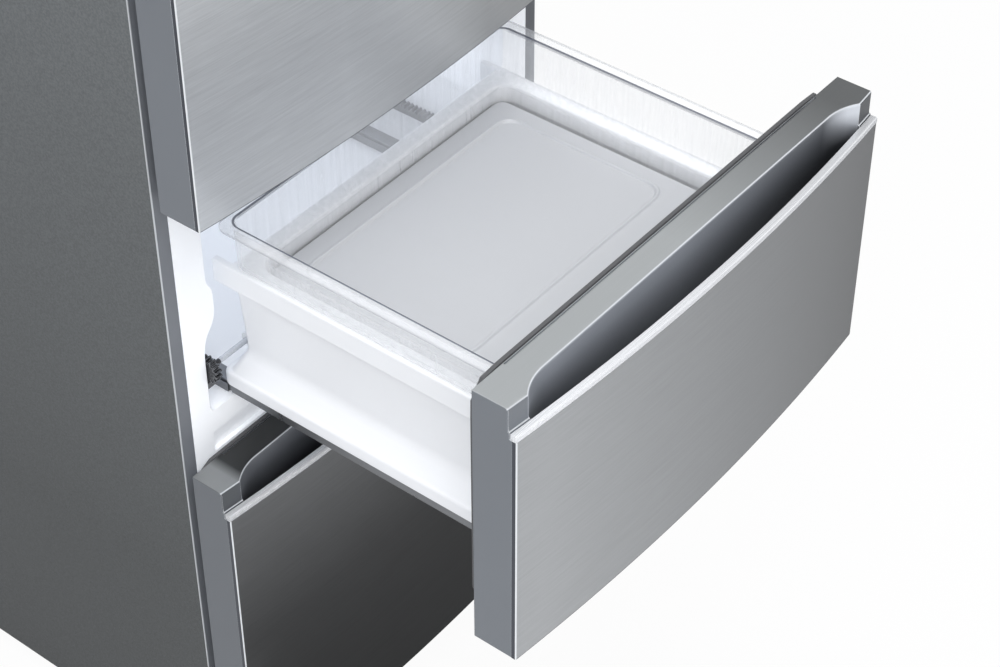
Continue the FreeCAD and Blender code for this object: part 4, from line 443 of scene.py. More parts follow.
def trayMetal():
    tray = Finish("trayMetal")
    brush = tray.noise(1.0, 2, 0.5, (1400, 12, 1400))
    cloud = tray.noise(5, 3, 0.5)
    return tray.done(base=shaded(tray, (0.505, 0.515, 0.535), cloud * 0.5 + brush * 0.5, 0.03),
                     metallic=0.12, roughness=brush.ranged(0.42, 0.52), normal=tray.bump(brush, 0.01))


def zincSteel():
    zinc = Finish("zincSteel")
    grey = zinc.add("ShaderNodeSeparateColor", {}, {"Color": zinc.cells(110, "Color")}, "Red")
    haze = zinc.noise(9, 4, 0.6)
    return zinc.done(base=shaded(zinc, (0.50, 0.515, 0.53), grey * 0.6 + haze * 0.4, 0.14),
                     metallic=0.9, roughness=grey.spread(0, 1, 0.34, 0.5), normal=zinc.bump(haze, 0.06))


def runnerSteel():
    runner = Finish("runnerSteel")
    roll = runner.noise(1.0, 2, 0.5, (900, 14, 900))
    oil = runner.noise(30, 4, 0.6)
    return runner.done(base=shaded(runner, (0.20, 0.205, 0.215), roll * 0.5 + oil * 0.5, 0.15),
                       metallic=0.9, roughness=oil.ranged(0.25, 0.42), normal=runner.bump(roll, 0.02))


def shaftAndGears():
    # dark glossy pinions with painted edge highlights, at the ends of a pale cross shaft
    gear = Finish("shaftAndGears")
    grain = gear.noise(300, 3, 0.6)
    onGear = gear.here()[0].size().spread(0.2305, 0.2310)
    pale = shaded(gear, (0.50, 0.52, 0.56), grain, 0.05)
    dark = shaded(gear, (0.035, 0.036, 0.04), grain, 0.2)
    # painted highlights along the pinions' edges
    dark = gear.blend(gear.convexEdges(0.8) * 0.7, dark, (0.6, 0.62, 0.65))
    return gear.done(base=gear.blend(onGear, pale, dark), metallic=onGear * 0.5,
                     roughness=grain.ranged(0.2, 0.32), normal=gear.bump(grain, 0.03))


def lineCopper():
    copper = Finish("lineCopper")
    stain = copper.noise(45, 4, 0.6)
    base = copper.blend(stain.spread(0.35, 0.7), (0.72, 0.33, 0.17), (0.34, 0.15, 0.08))
    return copper.done(base=base, metallic=1.0, roughness=stain.ranged(0.25, 0.45),
                       normal=copper.bump(stain, 0.04))


dust, sag, frost = (260, 3, 0.6), (26, 3, 0.5), (60, 4, 0.6)
finishes = {
    "case_paint": casePaint(),
    "stainless_front": brushedSteel(),
    "front_surround": surroundGrey(),
    "bright_strip": brightTrim(),
    "white_liner": linerWhite(),
    "door_core": mouldedWhite("doorWhite", (0.88, 0.885, 0.895), 0.38, 0.02),
    "insulation_foam": foamYellow(),
    "white_box": mouldedWhite("boxWhite", (0.86, 0.87, 0.89), 0.30, 0.01),
    "clear_plastic": clearPlastic("clearPlastic", (0.86, 0.88, 0.92), 0.10, 0.75),
    "basket_plastic": clearPlastic("basketPlastic", (0.93, 0.945, 0.97), 0.14, 0.72, paintedRimLines),
    "shelf_glass": clearPlastic("shelfGlass", (0.70, 0.82, 0.79), 0.14, 0.7),
    "tray_metal": trayMetal(),
    "seal_rubber": grained(Finish("sealRubber"), (0.085, 0.086, 0.09), 0.2, dust, dust, (0.55, 0.7), 0.05),
    "zinc_steel": zincSteel(),
    "runner_steel": runnerSteel(),
    "gear_plastic": shaftAndGears(),
    "black_plastic": mouldedBlack("plasticBlack", (0.022, 0.022, 0.024), 0.42),
    "hood_plastic": mouldedBlack("hoodGrey", (0.075, 0.079, 0.083), 0.38),
    "black_metal": grained(Finish("blackEnamel"), (0.022, 0.022, 0.023), 0.2, sag, sag, (0.22, 0.34), 0.2,
                           coat=0.4),
    "coil_aluminium": grained(Finish("coilAluminium"), (0.72, 0.73, 0.74), 0.1, frost, frost, (0.3, 0.5),
                              0.03, metallic=0.95),
    "line_copper": lineCopper(),
}
print("finishes made:", len(finishes))


def quadsOf(rows, columns, wrapRows, wrapColumns):
    # index arithmetic: each cell of the grid is a quad to the next row and the next column
    row = np.arange(rows if wrapRows else rows - 1)[:, None]
    column = np.arange(columns if wrapColumns else columns - 1)[None, :]
    nextRow, nextColumn = (row + 1) % rows, (column + 1) % columns
    cell = [row * columns + column, row * columns + nextColumn, nextRow * columns + nextColumn,
            nextRow * columns + column]
    return np.stack(np.broadcast_arrays(*cell), -1).reshape(-1, 4)


def sheetOf(grid, wrapRows=False, wrapColumns=True, capped=True):
    # a grid of points as quads, its first and last rows closed by a face each
    rows, columns = grid.shape[:2]
    faces = quadsOf(rows, columns, wrapRows, wrapColumns).tolist()
    if capped and not wrapRows:
        faces.append(list(range(columns)))
        faces.append(list(range(rows * columns - 1, (rows - 1) * columns - 1, -1)))
    return grid.reshape(-1, 3), faces


def joined(parts):
    # several meshes as one: the points one after another, the faces' numbers moved on
    points, faces, start = [], [], 0
    for somePoints, someFaces in parts:
        points.append(somePoints)
        faces += [[corner + start for corner in face] for face in someFaces]
        start += len(somePoints)
    return np.concatenate(points), faces


def some(sizes, keys):
    # several entries of a dictionary, their names given in one line
    return [sizes[key] for key in keys.split()]


def extent(node):
    # a node's box in millimetres: low and high along x, y and z
    return [(low / mm, high / mm) for low, high in zip(*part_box(node))]


def smoothMesh(name, points, faces, tidied):
    # a smooth mesh from points in metres, after a function has tidied its working copy
    mesh = bpy.data.meshes.new(name)
    mesh.from_pydata(points.tolist(), [], faces)
    work = bmesh.new()
    work.from_mesh(mesh)
    tidied(work)
    work.to_mesh(mesh)
    work.free()
    mesh.polygons.foreach_set("use_smooth", [True] * len(mesh.polygons))
    return mesh


def welded(work):
    # doubled points made one, faces turned outwards
    bmesh.ops.remove_doubles(work, verts=work.verts, dist=0.002 * mm)
    bmesh.ops.recalc_face_normals(work, faces=work.faces)


def flattened(work):
    # the triangles of a flat face made one face
    bmesh.ops.dissolve_limit(work, angle_limit=math.radians(0.4), verts=work.verts, edges=work.edges)


def makePiece(name, parts, node, finish=None, replaced=True, slot=None, shift=0.0, sharp=35):
    # one object from parts in millimetres, at its place, riding on its node's body
    points, faces = joined(parts)
    mesh = smoothMesh(name, (points + np.array([0, shift, 0])) * mm, faces, welded)
    mesh.set_sharp_from_angle(angle=math.radians(sharp))
    return weighted(settle(name, mesh, node, finish, replaced, slot))


def inScene(name, data):
    # a new object in the scene for a mesh, a camera or a lamp
    item = bpy.data.objects.new(name, data)
    bpy.context.scene.collection.objects.link(item)
    return item


def settle(name, mesh, node, finish=None, replaced=True, slot=None):
    # an object for a finished mesh: its finish, body, slot and the node that it stands for
    piece = inScene(name, mesh)
    slot = slot or slotOf[node]
    mesh.materials.append(finish or finishes[slot])
    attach(piece, bodyOf[node])
    if replaced:
        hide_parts(node)
    return piece


def weighted(piece):
    # flat faces keep their own direction beside rounded edges
    weights = piece.modifiers.new("weights", "WEIGHTED_NORMAL")
    weights.keep_sharp = True
    weights.weight = 100
    return piece


def camel(node):
    # a node's name as one word: middle_box is middleBox
    first, *rest = node.split("_")
    return first + "".join(word.capitalize() for word in rest)


weld, sharpAngle, roundAngle = 0.004 * mm, 32, 50      # of the pieces dressed from the frame


def dress(node, edge, segments=2):
    # a merged copy of a node's mesh with flat faces made whole and its sharp edges rounded
    data = nodes[node].data
    points = np.empty(len(data.vertices) * 3, np.float32)
    data.vertices.foreach_get("co", points)
    corners = np.empty(len(data.loops), np.int32)
    data.loops.foreach_get("vertex_index", corners)
    points = points.reshape(-1, 3).astype(float)
    cell = np.round(points / weld).astype(np.int64)
    _, first, merged = np.unique(cell, axis=0, return_index=True, return_inverse=True)
    faces = merged.reshape(-1)[corners].reshape(-1, 3)
    whole = (faces[:, 0] != faces[:, 1]) & (faces[:, 1] != faces[:, 2]) & (faces[:, 2] != faces[:, 0])
    mesh = smoothMesh(camel(node), points[first], faces[whole].tolist(), flattened)
    piece = settle(camel(node), mesh, node)
    if edge:
        bevel = piece.modifiers.new("edges", "BEVEL")
        bevel.width = edge * mm
        bevel.segments = segments
        bevel.limit_method = "ANGLE"
        bevel.angle_limit = math.radians(sharpAngle)
    mesh.set_sharp_from_angle(angle=math.radians(roundAngle if edge else sharpAngle))
    return weighted(piece)


def bent(before, here, after, reach, steps):
    # a parabola at each point: it starts and ends a reach from it, towards the points before and after
    back, ahead = before - here, after - here
    length = lambda line: np.maximum(np.linalg.norm(line[:, :2], axis=1), 1e-6)
    start = here + back * np.minimum(reach / length(back), 0.49)[:, None]
    end = here + ahead * np.minimum(reach / length(ahead), 0.49)[:, None]
    share = np.linspace(0, 1, steps)[None, :, None]
    curve = (start[:, None] * (1 - share) ** 2 + here[:, None] * 2 * share * (1 - share)
             + end[:, None] * share ** 2)
    return curve.reshape(-1, here.shape[1])


def softened(levels, reaches, steps=5):
    # the inner rows of a list bent, each by its reach in millimetres of height and width
    levels = np.array(levels, float)
    curve = bent(levels[:-2], levels[1:-1], levels[2:], np.array(reaches, float), steps)
    return np.concatenate([levels[:1], curve, levels[-1:]])


def rings(levels, cornerSteps=8, sideSteps=12):
    # a rounded rectangle in plan for each level (height, half width, front, back, front radius, back
    # radius): arcs at the corners and even steps along the sides, from the right front corner round
    height, half, front, back, nearRadius, farRadius = np.array(levels, float).T
    radius = np.stack([nearRadius, farRadius, farRadius, nearRadius], 1)
    centreX = (half[:, None] - radius) * np.array([1, 1, -1, -1])
    centreY = np.stack([front + nearRadius, back - farRadius, back - farRadius, front + nearRadius], 1)
    turn = np.linspace(0, math.pi / 2, cornerSteps + 1)[None, None] + (
        np.arange(4) * math.pi / 2 - math.pi / 2)[None, :, None]
    arcs = np.stack([centreX[..., None] + radius[..., None] * np.cos(turn),
                     centreY[..., None] + radius[..., None] * np.sin(turn)], -1)
    ends, starts = arcs[:, :, -1:], np.roll(arcs[:, :, :1], -1, axis=1)
    share = (np.arange(1, sideSteps) / sideSteps)[None, None, :, None]
    plan = np.concatenate([arcs, ends + (starts - ends) * share], 2).reshape(len(height), -1, 2)
    up = np.broadcast_to(height[:, None, None], plan.shape[:2] + (1,))
    return np.concatenate([plan, up], 2)


def tub(levels, reaches, cornerSteps=8, sideSteps=12, steps=5):
    # a closed shell of rounded rectangles, up the outside, over the rim and down to the floor
    return rings(softened(levels, reaches, steps), cornerSteps, sideSteps)


def softBlock(x, y, z, edge, plan=None):
    # a block with every edge rounded: rings that grow, stand and shrink by a quarter circle each
    turn = np.linspace(0, math.pi / 2, 4)
    inset = np.concatenate([edge * (1 - np.sin(turn)), edge * (1 - np.sin(turn[::-1]))])
    height = np.concatenate([z[0] + edge * (1 - np.cos(turn)), z[1] - edge * (1 - np.cos(turn[::-1]))])
    half, middle = (x[1] - x[0]) / 2, (x[0] + x[1]) / 2
    corner = max(plan or edge, edge) * 1.0001
    levels = np.stack([height, half - inset, y[0] + inset, y[1] - inset, corner - inset + 1e-3,
                       corner - inset + 1e-3], 1)
    return sheetOf(rings(levels, 4, 2) + np.array([middle, 0, 0]))


def turned(profile, centre, axis="z", count=40):
    # radius and height turned about an axis through a point: x = r cos a, y = r sin a
    profile = np.array(profile, float)
    angle = np.arange(count) * 2 * math.pi / count
    across, along = profile[:, :1] * np.cos(angle), profile[:, :1] * np.sin(angle)
    up = np.broadcast_to(profile[:, 1:2], across.shape)
    order = {"z": (across, along, up), "y": (along, up, across), "x": (up, across, along)}[axis]
    return sheetOf(np.stack(order, -1) + np.array(centre, float))


def carried(path, section, closed=False, plane="plan"):
    # a closed section (distance to the path's left, height) at every point of a path, on its normal
    path, section = np.array(path, float), np.array(section, float)
    if closed:
        along = np.roll(path, -1, 0) - np.roll(path, 1, 0)
    else:
        along = np.gradient(path, axis=0)
    along /= np.linalg.norm(along, axis=1)[:, None]
    normal = np.stack([-along[:, 1], along[:, 0]], 1)
    flat = path[:, None] + normal[:, None] * section[None, :, :1]
    up = np.broadcast_to(section[None, :, 1:2], flat.shape[:2] + (1,))
    order = {"plan": [flat[..., :1], flat[..., 1:], up], "front": [flat[..., :1], up, flat[..., 1:]],
             "side": [up, flat[..., :1], flat[..., 1:]]}[plane]
    return sheetOf(np.concatenate(order, 2), wrapRows=closed)


def roundedLoop(points, radii, steps=5):
    # a closed outline whose corners are parabolas that start and end a radius from the corner
    points, radii = np.array(points, float), np.broadcast_to(np.array(radii, float), len(points))
    return bent(np.roll(points, 1, 0), points, np.roll(points, -1, 0), radii, steps)


def evenly(points, spacing):
    # the same line with points at even distances along it
    points = np.array(points, float)
    run = np.concatenate([[0], np.cumsum(np.linalg.norm(np.diff(points, axis=0), axis=1))])
    places = np.linspace(0, run[-1], max(2, int(run[-1] / spacing) + 1))
    return np.stack([np.interp(places, run, points[:, axis]) for axis in (0, 1)], 1)


# the three fronts, in millimetres
front = {
    "rise": 15.5,          # bow of the fronts
    "sheet": 1.0,
    "roll": 1.05,          # rolled vertical edge of the steel sheet
    "fold": 5.0,
    "hem": 0.45,
    "stripDeep": 7.9,
    "stripRounds": [0.5, 0.5, 0.7, 2.7],
}
halfFront = extent("middle_front_panel")[0][1]


def bowAt(x, behind=0.0):
    # depth of the bow from the front's back plane: an arc through both edges and the middle
    edge = extent("lower_front_panel")[1][0] - closedBack
    radius = (halfFront ** 2 + front["rise"] ** 2) / (2 * front["rise"])
    return edge + radius - np.sqrt(radius ** 2 - np.asarray(x, float) ** 2) + behind


def bowedPanel(node, back):
    # steel sheet: fold, rolled corner, bow, rolled corner and fold, with a thin hemmed section on it
    low, high = extent(node)[2]
    middle = front["sheet"] / 2
    half, roll = halfFront - middle, front["roll"]
    across = np.linspace(-half + roll, half - roll, 90)
    edge = bowAt(half, middle)
    turn = np.linspace(0, math.pi / 2, 8)[1:-1]
    corner = np.stack([half - roll + roll * np.sin(turn), edge + roll - roll * np.cos(turn)], 1)
    fold = np.linspace(edge + roll, bowAt(halfFront) + front["fold"], 4)
    side = np.stack([np.full(4, half), fold], 1)
    right = np.concatenate([corner, side])
    left = right[::-1] * np.array([-1, 1])
    path = np.concatenate([left, np.stack([across, bowAt(across, middle)], 1), right])
    hem = front["hem"]
    section = roundedLoop([(-middle, low), (middle, low), (middle, high), (-middle, high)], hem, 4)
    tall = np.linspace(low + 3, high - 3, 24)[:, None]
    section = np.concatenate([section[:8], np.hstack([np.full_like(tall, middle), tall]), section[8:],
                              np.hstack([np.full_like(tall, -middle), tall[::-1]])])
    return makePiece(camel(node), [carried(path, section)], node, shift=back)


def brightStrip(node, back):
    # bright strip: a bar with a rounded front edge, carried along the bow
    low, high = extent(node)[2]
    across = np.linspace(-halfFront + 0.02, halfFront - 0.02, 80)
    path = np.stack([across, bowAt(across)], 1)
    deep = front["stripDeep"]
    section = roundedLoop([(0, low), (deep, low), (deep, high), (0, high)], front["stripRounds"], 7)
    return makePiece(camel(node), [carried(path, section)], node, shift=back)


seal = {
    "inset": 7.0,          # middle of the band from its outer edge
    "corner": 18.0,
    "folds": [(3.4, 0), (3.4, 1.6), (5.6, 2.9), (3.2, 4.2), (5.6, 5.5), (3.4, 6.7), (6.7, 7.3)],
}


def bellowsSeal(node, back):
    # gasket: foot, folded bellows and magnet band, carried round a rounded rectangle
    x, y, z = extent(node)
    half, low, high = x[1] - seal["inset"], z[0] + seal["inset"], z[1] - seal["inset"]
    outline = roundedLoop([(-half, low), (half, low), (half, high), (-half, high)], seal["corner"], 9)
    path = evenly(np.roll(outline, -1, 0), 20)[1:-1]
    side = seal["folds"] + [(seal["folds"][-1][0], y[1] - y[0])]
    section = roundedLoop(side + [(-wide, deep) for wide, deep in reversed(side)], 0.8, 4)
    return makePiece(camel(node), [carried(path, section, closed=True, plane="front")], node, shift=back)


ledge = {
    "drop": 10.0, "step": 27.0, "seat": 35.2, "lip": 8.0, "behindPanel": 1.1,
    "scoopBack": 31.0, "scoopStraight": 235.0, "scoopEnd": 273.5, "scoopDepth": 78.0,
    "grooveHalf": 255.0, "grooveIn": 1.0, "grooveOut": 3.0, "grooveDeep": 2.0,
    "frame": 3.0, "recess": 6.0, "foldBack": 45.9, "foldIn": 1.15, "sideEdge": 1.0,
}


def scoopEdge(x):
    # rear edge of the hand recess: straight, then an arc that leaves it without a corner
    end, straight, back = some(ledge, "scoopEnd scoopStraight scoopBack")
    run = end - straight
    fall = -back - bowAt(end, ledge["drop"])
    radius = (run ** 2 + fall ** 2) / (2 * fall)
    along = np.clip(x - straight, 0, run)
    return -back - radius + np.sqrt(radius ** 2 - along ** 2)


def sideSection(x, base, top):
    # section of a drawer front's surround at a distance from its middle, corners rounded
    inScoop, inGroove = x < ledge["scoopEnd"], x < ledge["grooveHalf"]
    frame, near, far = some(ledge, "frame grooveIn grooveOut")
    face, lip = bowAt(x, ledge["behindPanel"]), bowAt(x, ledge["lip"])
    rear = scoopEdge(x) if inScoop else bowAt(x, ledge["drop"])
    floor = top - (ledge["scoopDepth"] if inScoop else ledge["step"])
    recess = -ledge["recess"] if x < halfFront - frame else 0
    low, high, seat = base + frame, top - frame, top - ledge["seat"]
    groove = top - (ledge["grooveDeep"] if inGroove else 0)
    points = [(face, base), (0, base), (0, low), (recess, low), (recess, high), (0, high), (0, top),
              (-near, top), (-near, groove), (-far, groove), (-far, top), (rear, top), (rear, floor),
              (lip, floor), (lip, seat), (face, seat)]
    radii = [1, 0.8, 0.2, 0.2, 0.2, 0.2, 0.5, 0.2, 0.2, 0.2, 0.2, 3.2, 7, 4, 0.6, 0.5]
    radii = [max(radius, 0.02) for radius in radii]
    return roundedLoop(np.array(points) + np.arange(16)[:, None] * 1e-5, radii, 6)


def scoopedSurround(node, back):
    # grey surround: its section at many distances across, the side edges rounded by insetting it
    base, top = extent(node)[2]
    end, half, groove = ledge["scoopEnd"], halfFront, ledge["grooveHalf"]
    inner = half - ledge["frame"]
    across = np.concatenate([
        np.linspace(0, ledge["scoopStraight"], 9),
        np.linspace(ledge["scoopStraight"], end - 0.02, 22)[1:],
        [end + 0.02, 284, groove - 0.05, groove + 0.05, inner - 0.01, inner + 0.01],
        [half - ledge["foldIn"]]])
    stations = [(x, sideSection(x, base, top)) for x in np.sort(across)]
    last = sideSection(half, base, top)
    stepped = np.stack([np.maximum(last[:, 0], -ledge["foldBack"]), last[:, 1]], 1)
    stations.append((half - ledge["foldIn"] + 0.02, stepped))
    y, z = stepped.T
    ledgeFace, shelf = bowAt(half, ledge["drop"]), top - ledge["step"]
    for turn in np.linspace(0, math.pi / 2, 5):
        inset = ledge["sideEdge"] * (1 - math.cos(turn))
        least = np.where(z > shelf + 0.5, ledgeFace, -ledge["foldBack"]) + inset
        most = np.where((y < ledgeFace - 0.01) & (z > top - ledge["seat"] + 0.5), shelf, top) - inset
        loop = np.stack([np.clip(y, least, -inset), np.clip(z, base + inset, most)], 1)
        stations.append((half - ledge["sideEdge"] * (1 - math.sin(turn)), loop))
    right = np.stack([np.concatenate([np.full((len(loop), 1), x), loop], 1) for x, loop in stations])
    left = right[:0:-1] * np.array([-1, 1, 1])
    return makePiece(camel(node), [sheetOf(np.concatenate([left, right]))], node, shift=back, sharp=40)


def foamedBack(node, surround, back):
    # white back of a drawer front, set in its surround
    x, _, z = extent(surround)
    edge = ledge["frame"] + 0.05
    block = softBlock((x[0] + edge, x[1] - edge), (-ledge["recess"] + 0.1, 0), (z[0] + edge, z[1] - edge),
                      0.7, 2)
    return makePiece(camel(node), [block], node, shift=back)


for node, back in (("fridge_door", closedBack), ("middle_front", openBack), ("lower_front", closedBack)):
    bowedPanel(node + "_panel", back)
    bellowsSeal(node + "_gasket", back)
for node, back in (("middle_front", openBack), ("lower_front", closedBack)):
    scoopedSurround(node + "_surround", back)
    foamedBack(node + "_core", node + "_surround", back)
    brightStrip(node + "_strip", back)
dress("fridge_door_surround", 0.8, 2)
dress("fridge_door_core", 2.0, 2)
dress("fridge_door_strip", 0.4)
print("fronts made")


# the middle drawer's box, in millimetres from its drawer front's back plane
box = {
    "base": 604.0, "plinthTop": 621.0, "flareTop": 648.0, "railBase": 742.5, "railTop": 771.0,
    "plinthHalf": 222.0, "lowHalf": 204.0, "topHalf": 213.0, "railHalf": 220.0, "railWide": 20.0,
    "wall": 5.0, "back": 378.0, "tail": 400.0, "corner": 7.0, "inner": 24.0,
}


def middleBox():
    # plinth, flared side, rail and rim on the outside, then rail, side and floor inside
    wall, back, tail, corner, bend = some(box, "wall back tail corner inner")
    base, plinth, flare, railBase, railTop = some(box, "base plinthTop flareTop railBase railTop")
    plinthHalf, low, top, rail, wide = some(box, "plinthHalf lowHalf topHalf railHalf railWide")
    levels = [
        (base, 40, 20, 360, 10, 10),
        (base, plinthHalf, 0.3, tail, 3, 12),
        (plinth, plinthHalf, 0.3, tail, 3, 12),
        (plinth + 2, plinthHalf - 3, 0.3, back + 14, 3, 10),
        (flare, low, 0.3, back, 3, corner),
        (railBase - 1, top, 0.3, back, 3, corner),
        (railBase, rail, 0.3, back, 3, corner),
        (railTop, rail, 0.3, back, 3, corner),
        (railTop, rail - wide, wall, back - wide, 6, bend),
        (railBase + 5, rail - wide, wall, back - wide, 6, bend),
        (railBase - 5, top - wall, wall, back - wall, 8, bend),
        (flare, low - wall, wall, back - wall, 8, bend),
        (base + wall, low - wall - 1, wall, back - wall - 1, 8, bend),
        (base + wall, 40, 30, 350, 10, 10)]
    reaches = [2.5, 3, 1, 9, 5, 2, 3, 3, 3, 6, 6, 9]
    shell = sheetOf(tub(levels, reaches, 10, 16))
    tails = [softBlock(sorted((side * (top - 1), side * (rail - 0.06))), (back - 30, tail),
                       (railBase + 0.06, railTop - 0.06), 1.6) for side in (-1, 1)]
    return makePiece("middleBox", [shell] + tails + shaftEars(), "middle_box", shift=openBack, sharp=40)


# the ears behind it that hold the cross shaft
drive = {
    "earAt": 185.0, "earThick": 6.0, "earRound": 8.0, "shaftY": 392.0, "shaftZ": 644.0, "shaftBore": 3.1,
}


def shaftEars():
    # two bearing ears behind the box: a tongue with a round end, bored for the cross shaft
    turn = np.linspace(-math.pi / 2, math.pi / 2, 16)
    radius, y, z = drive["earRound"], drive["shaftY"], drive["shaftZ"]
    root = box["back"] - 3
    outer = np.stack([np.concatenate([[root], y + radius * np.cos(turn) * 0.999, [root]]),
                      np.concatenate([[z - radius], z + radius * np.sin(turn), [z + radius]])], 1)
    angle = np.linspace(-math.pi, math.pi, len(outer))
    bore = np.stack([y + drive["shaftBore"] * np.cos(angle), z + drive["shaftBore"] * np.sin(angle)], 1)
    ears = []
    for side in (-1, 1):
        low, high = (side * drive["earAt"] + step * drive["earThick"] / 2 for step in (-1, 1))
        loops = [(low, outer), (high, outer), (high, bore), (low, bore)]
        grid = np.stack([np.concatenate([np.full((len(loop), 1), x), loop], 1) for x, loop in loops])
        ears.append(sheetOf(grid, wrapRows=True, wrapColumns=False, capped=False))
    return ears


middleBox()
print("middle box made")


# the clear basket that lies on the box's rails
basket = {
    "floor": 751.0, "shoulder": 771.3, "rimTop": 828.0, "wall": 2.5, "rimThick": 3.0,
    "lowHalf": 192.0, "midHalf": 195.0, "topHalf": 216.0, "rimHalf": 231.0,
    "front": 12.5, "back": 355.0, "tail": 376.0, "rimTail": 383.0,
    "notchHalf": 100.0, "notchSlope": 32.0, "notchDeep": 30.0, "notchReach": 38.0,
}


def smooth(share):
    # a step from 0 to 1 that starts and ends level
    share = np.clip(share, 0, 1)
    return share * share * (3 - 2 * share)


def clearBasket():
    # shell of rounded rectangles; its front wall dips by a smooth step of x for the finger notch
    wall, near, back, tail, rimTail = some(basket, "wall front back tail rimTail")
    low, mid, top, rim = some(basket, "lowHalf midHalf topHalf rimHalf")
    floor, shoulder, rimTop = some(basket, "floor shoulder rimTop")
    rimBase, inner = rimTop - basket["rimThick"], near + wall
    levels = [
        (floor, 30, 40, 320, 8, 8),
        (floor, low, near, back, 14, 18),
        (shoulder, mid, near, back, 14, 18),
        (shoulder, top, near, tail, 14, 17),
        (rimBase, top + wall, near, tail, 14, 17),
        (rimBase, rim, near, rimTail, 14, 17),
        (rimTop, rim, near, rimTail, 14, 17),
        (rimTop, top, inner, tail - wall, 12, 14),
        (shoulder + wall, top - wall, inner, tail - wall, 12, 14),
        (shoulder + wall, mid - wall, inner, back - wall, 12, 16),
        (floor + wall, low - wall, inner, back - wall, 12, 16),
        (floor + wall, 30, 40, 320, 8, 8)]
    grid = tub(levels, [4, 1.2, 2.5, 2.5, 1.2, 1.2, 1.4, 2.5, 2.5, 2.5], 12, 64, 5)
    x, y, z = grid[..., 0], grid[..., 1], grid[..., 2]
    half, slope, deep, reach = some(basket, "notchHalf notchSlope notchDeep notchReach")
    dip = smooth((half + slope - np.abs(x)) / slope / 1.6)
    upper = np.clip((z - rimTop + reach) / reach, 0, 1) * (y < inner + 0.5)
    z -= dip * upper * deep
    return makePiece("clearBasket", [sheetOf(grid)], "clear_basket", finishes["basket_plastic"],
                     shift=openBack, sharp=40)


# the metal tray that lies in the basket
tray = {
    "base": 753.8, "sheet": 1.5, "half": 188.0, "front": 16.5, "back": 351.0, "corner": 11.0,
    "ridgeHalf": 170.0, "ridgeFront": 113.0, "ridgeBack": 329.0, "ridgeWide": 6.0, "ridgeTall": 3.0,
    "ridgeCorner": 22.0,
}


def coolingTray():
    # pressed plate: flat margin, a rounded ridge round the middle and a field inside it
    low, top = tray["base"], tray["base"] + tray["sheet"]
    crest, wide = top + tray["ridgeTall"], tray["ridgeWide"]
    half, near, far, corner = some(tray, "ridgeHalf ridgeFront ridgeBack ridgeCorner")
    edge = some(tray, "half front back corner corner")
    ridge = lambda inset, height: (height, half - inset, near + inset, far - inset, *[corner - inset] * 2)
    levels = [(low, 30, 60, 300, 6, 6), (low, *edge), (top, *edge), ridge(0, top), ridge(1.6, crest),
              ridge(wide - 1.6, crest), ridge(wide, top), (top, 60, 170, 260, 6, 6)]
    grid = tub(levels, [0.6, 0.6, 1.2, 1.0, 1.0, 1.2], 10, 14, 4)
    return makePiece("coolingTray", [sheetOf(grid)], "cooling_tray", shift=openBack, sharp=50)


clearBasket()
coolingTray()
print("basket and tray made")


def openTub(node, wall, corner, rim=0.0, rimTall=8.0, draft=0.0, edge=1.2):
    # an open tub in its node's box: outer wall, rolled rim and inner wall, with rounded corners
    (x0, x1), (y0, y1), (z0, z1) = extent(node)
    half, middle = (x1 - x0) / 2, (x0 + x1) / 2
    foot, inner = rim + draft, corner - wall * 0.5
    levels = [
        (z0, half * 0.2, y0 + 30, y1 - 30, 4, 4),
        (z0, half - foot, y0 + draft, y1 - draft, corner, corner),
        (z1 - rimTall, half - rim, y0, y1, corner, corner),
        (z1 - rimTall, half, y0, y1, corner, corner),
        (z1, half, y0, y1, corner, corner),
        (z1, half - rim - wall, y0 + wall, y1 - wall, inner, inner),
        (z0 + wall, half - foot - wall, y0 + wall + draft, y1 - wall - draft, inner, inner),
        (z0 + wall, half * 0.2, y0 + 30, y1 - 30, 4, 4)]
    reach = [4, 0.4 + rim * 0.2, 0.4 + rim * 0.2, edge, edge, 6]
    return sheetOf(tub(levels, reach, 6, 8, 4) + np.array([middle, 0, 0]))


# wall, corner, rim's width and height, draft and edge of the plain tubs; then the door's bins
tubs = {
    "lower_box": (4.0, 16, 4, 12, 3),
    "crisper": (3.0, 12, 0.5, 10, 4),
    "drip_tray": (2.0, 9, 0.3, 4, 4, 0.8),
}
doorBin = {"wall": 3.0, "count": 3, "tall": 95.0}
for node, sizes in tubs.items():
    makePiece(camel(node), [openTub(node, *sizes)], node)


def doorBins():
    # three clear bins on the door, each with a thicker front rail
    x, y, z = extent("door_bins")
    wall, half = doorBin["wall"], x[1]
    bins = []
    for z0 in np.linspace(z[0], z[1] - doorBin["tall"], doorBin["count"]):
        z1 = z0 + doorBin["tall"]
        levels = [
            (z0, 60, y[0] + 20, y[1] - 20, 4, 4),
            (z0, half - 2, y[0], y[1] - 8, 4, 14),
            (z1 - 14, half, y[0], y[1] - 1.5, 4, 14),
            (z1 - 12, half, y[0], y[1], 4, 14),
            (z1, half, y[0], y[1], 4, 14),
            (z1, half - wall, y[0] + wall, y[1] - wall - 1.5, 3, 12),
            (z0 + wall, half - wall - 2, y[0] + wall, y[1] - wall - 8, 3, 12),
            (z0 + wall, 60, y[0] + 20, y[1] - 20, 4, 4)]
        bins.append(sheetOf(tub(levels, [4, 1, 1, 1.2, 1.2, 6], 6, 10, 4)))
    return makePiece("doorBins", bins, "door_bins")


doorBins()
print("tubs made")


